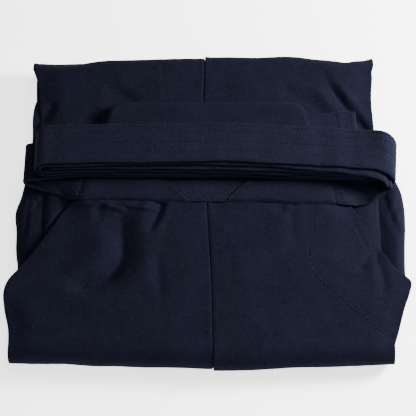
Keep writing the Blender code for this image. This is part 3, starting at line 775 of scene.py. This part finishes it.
# ---- front panels
def dense_path(knots, step, least):
    """Points on a smooth curve through knots, at most step apart."""
    knots = np.array(knots, float)
    _, reached = lengths_along(knots)
    where = [0.0]
    for start, end in zip(reached, reached[1:]):
        count = max(least, math.ceil((end - start) / step))
        where += list(np.linspace(start, end, count + 1)[1:])
    where = np.array(where)
    table = np.column_stack([reached, knots])
    columns = [curve_through(table, where, 1 + axis) for axis in range(knots.shape[1])]
    return np.column_stack(columns), where


def build_front_panel(name, profile, column, run, index, finish):
    """Front leg panel with its side pleat, seen through a side slit."""
    shape, across = dense_path(profile, FRONT_STEP, 3)
    y = spaced(FRONT_DRIFT[-1][0], FRONT_DRIFT[0][0], FRONT_STEP)[:, None]
    drift_from = FRONT_DRIFT_FROM[run]
    outer = soft_step((shape[:, 0] - drift_from) / (profile[-2][0] - drift_from))
    x = shape[:, 0] + curve_through(FRONT_DRIFT, y, column) * outer
    z = shape[:, 1] + unevenness("front", x, y, index) * (0.25 + 0.75 * outer)
    z = z + crease_height(run, x, y)
    if run == FRONT_LEFT:
        # It sinks below the leg's slanting edge, the upper layer more than the lower.
        covered = soft_step((x - curve_through(WAIST_RUN, y, 1) + 9.0) / 8.0)
        z = z - 2.6 * covered * soft_step(FRONT_UPPER_LAYER - across)
        z = z - 2.2 * covered * soft_step((-156.0 - x) / 3.0) * outer
    x = x + unevenness("front edge", y, index=index) * outer
    shell = cloth_shell(stack(x, y, z), stack(across, y), PLEAT_CLOTH)
    return stands_for(name, shell, finish)


# ---- back board
def board_half(y, inset):
    """Half width of the board at a y, with its rounded far corners."""
    share = (y - BOARD_NEAR_Y) / (BOARD_FAR_Y - BOARD_NEAR_Y)
    straight = BOARD_NEAR_HALF + share * (BOARD_FAR_HALF - BOARD_NEAR_HALF)
    radius = BOARD_CORNER - inset
    into = np.clip(y - BOARD_FAR_Y + BOARD_CORNER, 0.0, radius)
    cut = radius - np.sqrt(np.maximum(radius * radius - into * into, 0.0))
    return straight - inset - cut


def notch_x(y, side):
    """X of one slanting side of the board's cut-out at a y."""
    start = NOTCH_NEAR_RIGHT if side > 0 else NOTCH_NEAR_LEFT
    return start + side * NOTCH_SLOPE * (np.minimum(y, NOTCH_FAR_Y) - BOARD_NEAR_Y)


def board_grid(inset):
    """Grid over the board in three blocks of columns, the middle one over the cut-out."""
    near_edge = BOARD_NEAR_Y + inset
    far_edge = BOARD_FAR_Y - inset
    near = near_edge + (NOTCH_FAR_Y - near_edge) * np.linspace(0.0, 1.0, 24) ** 1.4
    far = NOTCH_FAR_Y + (far_edge - NOTCH_FAR_Y) * np.sin(0.5 * math.pi * np.linspace(0.0, 1.0, 44))
    y = np.concatenate([near, far[1:]])[:, None]
    half = board_half(y, inset)
    notch_left = notch_x(y, -1.0)
    notch_right = notch_x(y, 1.0)
    side = 1.0 - (1.0 - np.linspace(0.0, 1.0, BOARD_SIDE_COLUMNS)) ** 1.25
    left = -half + (notch_left + half) * side
    middle = notch_left + (notch_right - notch_left) * np.linspace(0.0, 1.0, NOTCH_COLUMNS)
    right = notch_right + (half - notch_right) * (1.0 - side[::-1])
    x = np.hstack([left, middle[:, 1:-1], right])
    to_seam = soft_step((NOTCH_FAR_Y - y) / (NOTCH_FAR_Y - BOARD_NEAR_Y))
    moved_y = y + (curve_through(WAIST_SEAM, x, 1) - BOARD_NEAR_Y) * to_seam
    return x, moved_y, y, half


def build_koshi_ita(finish):
    """Stiff core of the back board, just inside its cover."""
    x, y, row_y, _ = board_grid(1.0)
    points = stack(x, y + 2.6 * soft_step(-row_y / 8.0), BOARD_MIDDLE)
    return stands_for("koshi_ita", cloth_shell(points, points[..., :2], BOARD_THICK), finish)


def build_koshi_cover(finish):
    """Cloth over the board, rolled round its sides and sewn down at the waist seam."""
    x, y, row_y, half = board_grid(0.0)
    to_side = half - np.abs(x)
    to_far = BOARD_FAR_Y - row_y
    to_seam = y - curve_through(WAIST_SEAM, x, 1)
    rolled = sum(soft_step(1.0 - away / COVER_ROLL_WIDTH) ** 2 for away in (to_side, to_far))
    tucked = soft_step(1.0 - to_seam / 3.2) + 0.35 * soft_step(1.0 - to_seam / 12.0)
    drop = COVER_TUCK_DROP + 0.4 * soft_step((np.abs(x) - 100.0) / 22.0)
    turned = soft_step(1.0 - to_seam / 1.3) * (0.7 + 0.5 * soft_step((-30.0 - x) / 30.0))
    z = COVER_TOP - 0.5 * COVER_CLOTH - COVER_ROLL_DROP * np.minimum(rolled, 1.0)
    z = z - drop * tucked - turned
    z = z + unevenness("cover", x, y)
    z = z + 0.22 * np.sin(x / 4.1 + 0.8 * np.sin(x / 13.0)) * np.exp(-to_seam / 7.0)
    points = stack(x, y, z)
    used = np.ones((x.shape[0] - 1, x.shape[1] - 1), bool)
    below = row_y[:-1, 0] < NOTCH_FAR_Y - 1e-6
    used[below, BOARD_SIDE_COLUMNS - 1:BOARD_SIDE_COLUMNS + NOTCH_COLUMNS - 2] = False
    return stands_for("koshi_cover", cloth_shell(points, points[..., :2], COVER_CLOTH, used), finish)


def build_notch_strip(name, near_y, far_y, middle_z, wall, depth, sink_from, index, finish):
    """Strip of cloth across the cut-out, its ends under the cover's slanting edges.

    It sinks by depth towards its near edge, from the y called sink_from.
    """
    y = spaced(near_y, far_y, 1.6)[:, None]
    left = notch_x(y, -1.0) - NOTCH_STRIP_UNDER
    right = notch_x(y, 1.0) + NOTCH_STRIP_UNDER
    x = left + (right - left) * np.linspace(0.0, 1.0, 48)
    sunk = depth * soft_step((sink_from - y) / 2.4)
    points = stack(x, y, middle_z + unevenness("strip", x, y, index) - sunk)
    return stands_for(name, cloth_shell(points, points[..., :2], wall), finish)


def build_front_waistband(finish):
    """Front waist piece, flat beneath the board."""
    x = np.linspace(-WAISTBAND_HALF, WAISTBAND_HALF, 90)[None, :]
    y = np.linspace(WAISTBAND_NEAR_Y, WAISTBAND_FAR_Y, 18)[:, None]
    points = stack(x, y, WAISTBAND_Z + unevenness("waistband", x, y))
    shell = cloth_shell(points, points[..., :2], WAISTBAND_WALL)
    return stands_for("front_waistband", shell, finish)


# ---- ties
def level_z(level, x):
    """Height of the middle of a tie on a level of the bundle, with slow waves in it."""
    right = soft_step((x - 60.0) / 60.0)
    wave = (0.25 + 0.75 * right) * np.sin(math.tau * (x - 117.0) / 29.0) * 0.55
    low = curve_through(BUNDLE, x, 1)
    high = curve_through(BUNDLE, x, 2) + wave
    return low + (level + 0.5) / BUNDLE_LEVELS * (high - low)


def run_on_level(level, x_from, x_to, near_edge):
    """Points of a tie on a level: x, z, y of its near edge."""
    x = spaced(x_from, x_to, TIE_RUN_STEP)
    ends = soft_step(np.minimum(np.abs(x - x_from), np.abs(x - x_to)) / 20.0)
    near_y = curve_through(near_edge, x, 1)
    near_y = near_y + ends * unevenness("tie run", x, index=level)
    return list(zip(x, level_z(level, x), near_y))


def turn(start, end, side):
    """Half turn between the ends of two runs, bulging to a side along X."""
    radius = 0.5 * abs(end[1] - start[1])
    rising = 1.0 if end[1] > start[1] else -1.0
    points = []
    for step in range(1, TURN_STEPS):
        share = step / TURN_STEPS
        angle = math.pi * share
        points.append((
            0.5 * (start[0] + end[0]) + side * radius * math.sin(angle),
            0.5 * (start[1] + end[1]) - rising * radius * math.cos(angle),
            start[2] + share * (end[2] - start[2]),
        ))
    return points


def joined(stretches, sides):
    """Stretches of a tie with half turns between them, that bulge to their sides."""
    path = list(stretches[0])
    for stretch, side in zip(stretches[1:], sides):
        path += turn(path[-1], stretch[0], side) + stretch
    return path


def back_left_path():
    """From the board's left end, folded back, across, and back again."""
    return joined((
        [(-125.2, 35.2, -5.6), (-128, 34.7, -4.3), (-132, 33.6, -2.2), (-138, 32.3, 0.6),
         (-148, 31, 4.4), (-162, 30.2, 9.4), (-175.5, 30, 13.5)],
        [(-175.5, 34.4, 14.5), (-162, 34.9, 16),
         *run_on_level(0, -150, 150, ((-150, 17), (0, 16.8), (150, 14.2))), (158, 37.8, 13)],
        [(158, 45.3, 14), *run_on_level(3, 150, -150, ((-150, 19.5), (0, 18.8), (150, 15.6)))],
    ), sides=(-1.0, 1.0))


def back_right_path():
    """From the board's right end, turned up in an open loop and across."""
    near_edge = ((-158, 20.7), (66, 20.2), (112, 16), (149, 11.4))
    return joined((
        [(125.2, 35.2, -10.4), (128, 34.9, -10.4), (132, 34.2, -10.4), (140, 33.4, -10),
         (153, 33.2, -7.6), (162, 33.6, -4.4), (168, 34.8, -0.8), (173.4, 37, 2.6)],
        [(173.4, 43, 3), (170.4, 46.9, 5), (164.5, 49.2, 7.8), (157, 50.1, 9.8),
         *run_on_level(4, 149, -158, near_edge)],
        run_on_level(2, -158, 147, ((-158, 18.6), (0, 18), (147, 15))),
    ), sides=(1.0, -1.0))


def front_right_path():
    """From the front waistband, outside the other ties and over the bundle."""
    near_edge = ((-158, 21.8), (66, 22.2), (112, 19.8), (149, 17.9))
    return joined((
        [(127.4, 29.9, 10), (150, 29.9, 10.5), (165, 30, 11), (173, 31.2, 11), (178, 34, 11),
         (180, 38.5, 10.8), (179.6, 43.4, 10.6), (177.2, 47.4, 11.4), (172, 50.4, 13.6),
         (164, 52.2, 16.6), (157, 53.1, 17.6), *run_on_level(5, 149, -158, near_edge)],
        run_on_level(1, -158, 152, ((-158, 17.5), (0, 17.3), (152, 14.2))),
    ), sides=(-1.0,))


def front_left_path():
    """End of the other front tie, flat beneath the board."""
    return [(-84, 30.1, 47), (60, 30.1, 47), (98, 30.1, 50), (132, 30.2, 55), (146.5, 30.4, 55)]


def tie_share(y):
    """Share across the bundle from its near edge, 0 to a little over 1."""
    return np.clip((y - BUNDLE_NEAR_Y) / TIE_WIDTH, 0.0, 1.2)


def corner_drop(y, along, near_y):
    """Where a back tie meets the board's near corner it dips to the waist seam."""
    return -2.0 * soft_step(1.0 - (y - near_y) / 4.0) * soft_step(1.0 - along / 16.0)


def limb_sag_left(x, y, along):
    """The first stretch of the left back tie sinks on to the leg and wrinkles."""
    near_y = curve_through(LIMB_LEFT_NEAR, x, 1)
    near = soft_step((14.0 - (y - near_y)) / 14.0)
    first = window(along, 0.0, 56.0, 8.0, 10.0)
    wrinkle = 0.6 * np.sin((x + 0.9 * y) / 2.6)
    hanging = soft_step((-127.0 - x) / 6.0) * (1.3 + 1.2 * soft_step((x + 150.0) / 12.0))
    sunk = first * (wrinkle * (0.3 + 0.7 * near) - (2.4 + hanging) * near)
    return sunk + corner_drop(y, along, near_y)


def limb_sag_right(x, y, along):
    """The first stretch of the right back tie sinks on to the leg, with a dimple."""
    near_y = curve_through(LIMB_RIGHT_NEAR, x, 1)
    near = soft_step((14.0 - (y - near_y)) / 14.0)
    first = window(along, 0.0, 40.0, 5.0, 10.0)
    dimple = bell(x - 147.0, 10.0) * bell(y - 9.0, 5.5)
    pressed = bell(x - 131.5 - 0.18 * (15.0 - y), 1.8) * soft_step((y + 2.0) / 6.0)
    hanging = window(x, 134.0, 168.0, 12.0, 14.0)
    sunk = first * (-1.0 * near - 3.4 * near * hanging - 1.5 * dimple - 0.8 * pressed)
    return sunk + corner_drop(y, along, near_y)


def top_strap_lift(x, y, along):
    """At the top strap's right end its far edge stays up while its near edge drops."""
    risen = window(along, 58.0, 130.0, 20.0, 20.0)
    return 5.5 * risen * soft_step((x - 150.0) / 28.0) * tie_share(y)


def tab_fold(x, y, along):
    """The flat end of the other front tie has a fold pressed across it."""
    return 0.7 * bell(x - 132.0, 1.3)


def tie_grid(path, skew):
    """Middle surface of a tie along a path of x, z, near y, and its flat sizes."""
    line, along = dense_path(path, TIE_POINT_STEP, 3)
    x, z, near_y = line.T[:, :, None]
    along = along[:, None]
    lean = skew * soft_step(1.0 - along / 26.0)
    points = stack(x + lean * TIE_COLUMNS / TIE_WIDTH, near_y + TIE_COLUMNS, z)
    return points, stack(TIE_COLUMNS, along)


def tie_wall(flat, index, rows_at):
    """Thickness of a quilted tie: thin at its stitch rows, full between them."""
    across = flat[..., 0]
    wall = TIE_WALL + unevenness("tie wall", across, flat[..., 1], index)
    for row in rows_at:
        depth = 0.25 if min(row, TIE_WIDTH - row) < 3.0 else 0.5
        wall = wall - depth * bell(across - (TIE_WIDTH - row), 1.1)
    return wall


def build_tie(name, path, skew, index, shape, flare, rows_at, finish):
    """A tie along a path: its name, its piece and its stitch rows.

    skew slants its first end. flare carries the far edge of its right end outwards.
    """
    points, flat = tie_grid(path, skew)
    at_end = soft_step((points[..., 0] - BUNDLE_RIGHT_X) / 20.0)
    points[..., 0] += flare * at_end * np.minimum(tie_share(points[..., 1]), 1.0)
    points[..., 2] += shape(points[..., 0], points[..., 1], flat[..., 1])
    wall = tie_wall(flat, index, rows_at)
    if skew:
        wall = wall * (0.36 + 0.64 * soft_step(flat[..., 1] / 6.0))
    piece = stands_for(name, cloth_shell(points, flat, wall), finish)
    return name, piece, tie_stitches(points, flat, wall, rows_at)


# ---- stitches
def capsule(rings, tip_drop):
    """Small closed form along its first axis: points (along, side, up) and faces."""
    angles = [math.tau * step / STITCH_SIDES for step in range(STITCH_SIDES)]
    tips = [(-0.5, 0.0, -tip_drop), (0.5, 0.0, -tip_drop)]
    sides = [(along, girth * math.cos(angle), girth * math.sin(angle))
             for along, girth in rings for angle in angles]
    faces = []
    last_ring = 1 + (len(rings) - 1) * STITCH_SIDES
    for step in range(STITCH_SIDES):
        after = (step + 1) % STITCH_SIDES
        faces.append((0, 1 + after, 1 + step))
        for ring in range(1, last_ring, STITCH_SIDES):
            above = ring + STITCH_SIDES
            faces += [(ring + step, ring + after, above + after), (ring + step, above + after, above + step)]
        faces.append((1 + len(sides), last_ring + step, last_ring + after))
    return np.array([tips[0], *sides, tips[1]]), np.array(faces)


def set_along(points, ups, where, form, faces, lengths, width, height):
    """Small forms set along a line on a surface, as vertices, faces and flats."""
    _, reached = lengths_along(points)

    def at(values, places):
        return np.column_stack([np.interp(places, reached, values[:, axis]) for axis in range(3)])

    along = unit(at(points, where + 0.4) - at(points, where - 0.4))
    side = unit(np.cross(at(ups, where), along))
    up = np.cross(along, side)
    lengths = lengths[:, None]
    vertices = (
        at(points, where)[:, None]
        + along[:, None] * (form[:, 0] * lengths)[..., None]
        + side[:, None] * form[:, 1:2] * width
        + up[:, None] * form[:, 2:3] * height
    )
    offsets = np.arange(len(where))[:, None, None] * len(form)
    flat = stack(form[:, 1] * width, where[:, None] + form[:, 0] * lengths)
    return vertices.reshape(-1, 3), (faces + offsets).reshape(-1, 3), flat.reshape(-1, 2)


def stitch_row(points, ups, seed):
    """A row of stitches along a line on a surface, with nearly black forms between them: painted shade in
    the needle holes.
    """
    spans, _ = lengths_along(points)
    chance = np.random.default_rng(seed)
    holes = np.arange(0.0, spans.sum(), STITCH_PITCH)
    holes = holes + chance.uniform(-0.07, 0.07, len(holes)) * STITCH_PITCH
    middles = 0.5 * (holes[1:] + holes[:-1])
    lengths = (STITCH_PITCH - HOLE_SIZE) * chance.uniform(0.9, 1.04, len(middles))
    sizes = HOLE_SIZE * chance.uniform(0.85, 1.2, len(holes))
    thread = capsule(STITCH_RINGS, 0.8)
    hole_shade_form = capsule(HOLE_RINGS, 0.0)
    return (
        set_along(points, ups, middles, *thread, lengths, STITCH_RADIUS, STITCH_RADIUS),
        set_along(points, ups, holes, *hole_shade_form, sizes, 0.5 * HOLE_SIZE, HOLE_HEIGHT),
    )


def stitch_pieces(name, rows, thread, shade, slot):
    """The thread of a piece's stitch rows, and the painted shade of its needle holes, one object each."""
    pieces = []
    for kind, material, shells in zip(("stitches", "holes"), (thread, shade), zip(*rows)):
        piece = make_mesh(f"{name}_{kind}", *join_shells(shells), material)
        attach(piece, "root")
        pieces.append(piece)
    return pieces


def laid_on(tree, line):
    """Line of x, y dropped on to a piece from above: points and normals in the layout."""
    dense, _ = dense_path(line, 1.2, 1)
    points, ups = [], []
    for x, y in dense:
        start = Vector(place((x, y, 100.0)))
        spot, normal, _, _ = tree.ray_cast(start, Vector((0.0, 0.0, -1.0)))
        if spot is not None:
            points.append(np.array(spot) / MM + CENTRE)
            ups.append(np.array(normal))
    return np.array(points), np.array(ups)


def rows_on(piece, lines, seed):
    """Stitch rows for lines of x, y dropped on to a finished piece."""
    corners = [vertex.co for vertex in piece.data.vertices]
    faces = [tuple(polygon.vertices) for polygon in piece.data.polygons]
    tree = BVHTree.FromPolygons(corners, faces)
    return [stitch_row(*laid_on(tree, line), seed + index) for index, line in enumerate(lines)]


def tie_stitches(points, flat, wall, rows_at):
    """Stitch rows along a tie, on both of its faces."""
    quads = grid_quads(*points.shape[:2])
    normals = surface_normals(points.reshape(-1, 3), quads).reshape(points.shape)
    rows = []
    for index, row in enumerate(rows_at):
        column = int(np.argmin(np.abs(flat[0, :, 0] - (TIE_WIDTH - row))))
        for side in (1.0, -1.0):
            ups = side * normals[:, column]
            lifted = points[:, column] + ups * (0.5 * wall[:, column, None] + 0.05)
            rows.append(stitch_row(lifted, ups, TIE_ROW_SEED + index))
    return rows


# ---- materials
def new_material(name):
    """Material, with its node tree and its shader."""
    material = bpy.data.materials.new(name)
    material.use_nodes = True
    return material, material.node_tree, material.node_tree.nodes["Principled BSDF"]


def set_inputs(tree, node, inputs):
    """Sets a node's inputs to values, or links them."""
    for name, value in inputs.items():
        if isinstance(value, bpy.types.NodeSocket):
            tree.links.new(value, node.inputs[name])
        else:
            node.inputs[name].default_value = value


def add_node(tree, kind, output, inputs, **settings):
    """An output of a new shader node with its settings and inputs."""
    made = tree.nodes.new(kind)
    for name, value in settings.items():
        setattr(made, name, value)
    set_inputs(tree, made, inputs)
    return made.outputs[output]


def weave_coordinates(tree, turn_degrees, stretch):
    """Flat cloth coordinates in millimetres, turned and stretched."""
    uv = add_node(tree, "ShaderNodeUVMap", "UV", {}, uv_map=WEAVE)
    return add_node(tree, "ShaderNodeMapping", "Vector", {
        "Vector": uv,
        "Scale": (stretch / MM, 1.0 / MM, 1.0 / MM),
        "Rotation": (0.0, 0.0, math.radians(turn_degrees)),
    })


def bands(tree, coordinates, pitch, inputs):
    """Parallel bands at a pitch. The wave node counts 20 radians to one unit of scale."""
    inputs = {"Vector": coordinates, "Scale": math.tau / 20.0 / pitch, **inputs}
    return add_node(tree, "ShaderNodeTexWave", "Fac", inputs, wave_type="BANDS", bands_direction="X")


def noise(tree, coordinates, scale, detail):
    """Soft noise over the flat cloth."""
    inputs = {"Vector": coordinates, "Scale": scale, "Detail": detail, "Roughness": 0.6}
    return add_node(tree, "ShaderNodeTexNoise", "Fac", inputs, noise_dimensions="2D")


def yarn_cells(tree, coordinates, width, length):
    """Chance value for each short stretch of yarn."""
    inputs = {"Vector": coordinates, "Vector_001": (width, length, 1.0)}
    cells = add_node(tree, "ShaderNodeVectorMath", "Vector", inputs, operation="SNAP")
    inputs = {"Vector": cells}
    return add_node(tree, "ShaderNodeTexWhiteNoise", "Value", inputs, noise_dimensions="2D")


def calculate(tree, kind, first, second):
    """Two values added, subtracted or multiplied."""
    return add_node(tree, "ShaderNodeMath", 0, {0: first, 1: second}, operation=kind)


def weighted_sum(tree, *parts):
    """Sum of values, each with its weight."""
    total = None
    for value, weight in parts:
        scaled = calculate(tree, "MULTIPLY", value, weight)
        total = scaled if total is None else calculate(tree, "ADD", total, scaled)
    return total


def mix_colours(tree, factor, first, second, blend_type="MIX"):
    """Colour between two colours, or their product. A colour is three numbers or a socket."""
    inputs = {"Factor": factor}
    for name, colour in (("A", first), ("B", second)):
        inputs[name] = (*colour, 1.0) if isinstance(colour, tuple) else colour
    return add_node(tree, "ShaderNodeMix", "Result", inputs, data_type="RGBA", blend_type=blend_type)


def add_bump(tree, height, strength, distance):
    """Small relief of a height, in metres."""
    inputs = {"Height": height, "Strength": strength, "Distance": distance}
    return add_node(tree, "ShaderNodeBump", "Normal", inputs)


def make_cloth_material(name, dark, light, twill_pitch, sheen):
    """Fine wool-like twill: diagonal ribs, uneven yarn, slow shade changes, soft sheen."""
    material, tree, shader = new_material(name)
    plain = weave_coordinates(tree, 0.0, 1.0)
    ribbed = weave_coordinates(tree, 62.0, 1.0)
    ribs = bands(tree, ribbed, twill_pitch, {"Distortion": 1.6, "Detail": 2.0, "Detail Scale": 1.4})
    fibre = noise(tree, weave_coordinates(tree, 0.0, 0.9), 0.8, 4.0)
    weft = yarn_cells(tree, plain, 0.5, 1.7)
    warp = yarn_cells(tree, plain, 1.7, 0.5)
    mottle = noise(tree, plain, 0.3, 2.0)
    slow = noise(tree, plain, 0.028, 2.0)
    shade = weighted_sum(
        tree, (ribs, 0.26), (weft, 0.34), (warp, 0.34), (fibre, 0.85), (mottle, 0.3), (slow, 0.3)
    )
    colour = mix_colours(tree, calculate(tree, "SUBTRACT", shade, 0.69), dark, light)
    hue = calculate(tree, "SUBTRACT", noise(tree, plain, 0.7, 4.0), 0.35)
    tint = mix_colours(
        tree, calculate(tree, "MULTIPLY", hue, 3.3), (1.22, 0.95, 0.90), (0.80, 1.05, 1.08)
    )
    height = weighted_sum(tree, (ribs, 1.0), (noise(tree, plain, 1.9, 2.0), 1.6))
    set_inputs(tree, shader, {
        "Base Color": mix_colours(tree, 1.0, colour, tint, "MULTIPLY"),
        "Roughness": add_node(tree, "ShaderNodeMapRange", "Result", {
            "Value": fibre, "From Min": 0.3, "From Max": 0.7, "To Min": 0.88, "To Max": 1.0,
        }),
        "Normal": add_bump(tree, height, 0.4, 0.0002),
        "Specular IOR Level": 0.018,
        "Sheen Weight": sheen,
        "Sheen Roughness": 0.45,
        "Sheen Tint": (0.45, 0.55, 0.8, 1.0),
    })
    return material


def make_thread_material(name, dark, light, specular):
    """Twisted sewing thread or, nearly black, the painted shade in needle holes."""
    material, tree, shader = new_material(name)
    twist = bands(tree, weave_coordinates(tree, 38.0, 1.0), 0.32, {"Distortion": 0.6})
    set_inputs(tree, shader, {
        "Base Color": mix_colours(tree, twist, dark, light),
        "Normal": add_bump(tree, twist, 0.5, 0.00008),
        "Roughness": 0.7,
        "Specular IOR Level": specular,
    })
    return material


# ---- studio, in metres
CAMERA_ELEVATION = math.radians(60.0)
CAMERA_DISTANCE = 1.37
CAMERA_TARGET = Vector((-0.001, -0.0072, 0.020))
CAMERA_LENS = 122.2
CAMERA_SHIFT = 0.0012
FLOOR_REACH = 8.0
FLOOR_Z = -0.0003
WORLD_STRENGTH = 0.40
# Soft square lights aimed at the garment: name, place, size, power.
LIGHTS = (
    ("key", (0.86, 0.20, 0.46), 0.28, 55.5),
    ("top", (0.15, 0.45, 1.4), 0.8, 13.0),
    ("near", (-0.10, -1.10, 0.24), 0.8, 14.0),
)


def make_camera():
    """Camera at the photograph's angle, looking down on the near side."""
    data = bpy.data.cameras.new("photo_camera")
    camera = bpy.data.objects.new("photo_camera", data)
    bpy.context.scene.collection.objects.link(camera)
    back = Vector((0.0, -math.cos(CAMERA_ELEVATION), math.sin(CAMERA_ELEVATION)))
    camera.location = CAMERA_TARGET + CAMERA_DISTANCE * back
    camera.rotation_euler = (math.pi / 2 - CAMERA_ELEVATION, 0.0, 0.0)
    data.lens = CAMERA_LENS
    data.shift_x = CAMERA_SHIFT
    data.clip_start = 0.05
    data.clip_end = 50.0
    bpy.context.scene.camera = camera


def make_floor():
    """Plain pale studio floor."""
    mesh = bpy.data.meshes.new("floor")
    corners = [(FLOOR_REACH * x, FLOOR_REACH * y, 0.0) for x, y in ((-1, -1), (1, -1), (1, 1), (-1, 1))]
    mesh.from_pydata(corners, [], [(0, 1, 2, 3)])
    floor = bpy.data.objects.new("floor", mesh)
    floor.location.z = FLOOR_Z
    bpy.context.scene.collection.objects.link(floor)
    material, tree, shader = new_material("floor_white")
    spots = add_node(tree, "ShaderNodeTexCoord", "Object", {})
    grain = add_node(tree, "ShaderNodeTexNoise", "Fac", {"Vector": spots, "Scale": 3.0})
    set_inputs(tree, shader, {
        "Base Color": mix_colours(tree, grain, (0.9, 0.9, 0.9), (0.93, 0.93, 0.93)),
        "Roughness": 0.9,
        "Specular IOR Level": 0.1,
        "Emission Color": (1.0, 1.0, 1.0, 1.0),
        "Emission Strength": 1.9,
    })
    mesh.materials.append(material)
    floor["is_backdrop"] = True


def make_lights():
    """White surroundings and the soft lights."""
    world = bpy.data.worlds.new("studio")
    world.use_nodes = True
    background = world.node_tree.nodes["Background"]
    background.inputs["Color"].default_value = (1.0, 1.0, 1.0, 1.0)
    background.inputs["Strength"].default_value = WORLD_STRENGTH
    bpy.context.scene.world = world
    for name, location, size, power in LIGHTS:
        data = bpy.data.lights.new(name, "AREA")
        data.shape = "SQUARE"
        data.size = size
        data.energy = power
        light = bpy.data.objects.new(name, data)
        light.location = location
        light.rotation_euler = (-Vector(location)).to_track_quat("-Z", "Y").to_euler()
        bpy.context.scene.collection.objects.link(light)


# ---- whole garment
def make_pieces(leg, board, tie):
    """Every piece of cloth that isn't a tie, by the CAD node that it stands for."""
    return {
        "back_leg_left": build_back_leg_left(leg),
        "back_leg_right": build_back_leg_right(leg),
        "folded_layers": build_folded_layers(leg),
        "front_left_panel": build_front_panel(
            "front_left_panel", FRONT_LEFT_PROFILE, column=1, run=FRONT_LEFT, index=0, finish=leg),
        "front_right_panel": build_front_panel(
            "front_right_panel", FRONT_RIGHT_PROFILE, column=2, run=FRONT_RIGHT, index=3, finish=leg),
        "front_waistband": build_front_waistband(leg),
        "koshi_ita": build_koshi_ita(board),
        "koshi_cover": build_koshi_cover(board),
        "himo_back_center": build_notch_strip(
            "himo_back_center", near_y=-5.0, far_y=30.0, middle_z=35.2, wall=0.55,
            depth=0.62, sink_from=-1.0, index=0, finish=tie),
        "koshi_base_binding": build_notch_strip(
            "koshi_base_binding", near_y=-8.6, far_y=-3.2, middle_z=35.25, wall=0.6,
            depth=1.3, sink_from=-5.8, index=1, finish=tie),
    }


def declare_soft(sewn):
    """Takes each sheet's stitches in turn as a list, and keeps nothing.

    sewn holds each sheet's stitches.
    """
    def sheet(name):
        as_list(sewn.get(name, ()))

    sheet("back_leg_left")
    sheet("back_leg_right")
    sheet("folded_layers")
    sheet("front_left_panel")
    sheet("front_right_panel")
    sheet("front_waistband")
    sheet("koshi_cover")
    sheet("himo_back_center")
    sheet("koshi_base_binding")
    sheet("himo_back_left")
    sheet("himo_back_right")
    sheet("himo_front_right")
    sheet("himo_front_left")


def main():
    make_camera()
    make_floor()
    make_lights()
    leg, board, tie = (
        (make_cloth_material(slot + "_cloth", dark, light, pitch, sheen), slot)
        for slot, dark, light, pitch, sheen in CLOTHS
    )
    # The last two are nearly black: painted shade for the needle holes.
    thread, quiet_thread, shade, tie_shade = (make_thread_material(*row) for row in THREADS)
    pieces = make_pieces(leg, board, tie)
    sewn = {}
    # The ties wear the lighter tie twill, painted light over the shade they lie in.
    ties = [
        build_tie(name, path, skew, index, shape, flare, rows_at, tie)
        for index, (name, path, skew, shape, flare, rows_at) in enumerate((
            ("himo_back_left", back_left_path(), 10.5, limb_sag_left, 0.0, TIE_ROWS),
            ("himo_back_right", back_right_path(), -10.5, limb_sag_right, 0.0, TIE_ROWS),
            ("himo_front_right", front_right_path(), 0.0, top_strap_lift, 3.6, TIE_ROWS),
            ("himo_front_left", front_left_path(), 0.0, tab_fold, 0.0, TIE_TIP_ROWS),
        ))
    ]
    # Only the rows on the board are in the plain thread.
    on_board = {"koshi_cover": board[1], "himo_back_center": tie[1]}
    for index, (name, lines) in enumerate(SEWN_ROWS.items()):
        strand = thread if name in on_board else quiet_thread
        rows = rows_on(pieces[name], lines, SEWN_SEED + index)
        sewn[name] = stitch_pieces(name, rows, strand, shade, on_board.get(name, leg[1]))
    for name, piece, rows in ties:
        pieces[name] = piece
        rows += rows_on(piece, TIE_END_ROWS.get(name, ()), TIE_END_SEED)
        sewn[name] = stitch_pieces(name, rows, quiet_thread, tie_shade, tie[1])
    declare_soft(sewn)


def write_size():
    """The CAD box and the visual model's box, gathered side by side and not kept."""
    boxes = {"cad": cad_box, "visual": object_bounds()}
    {name: [list(corner) for corner in box] for name, box in boxes.items()}


main()
write_size()
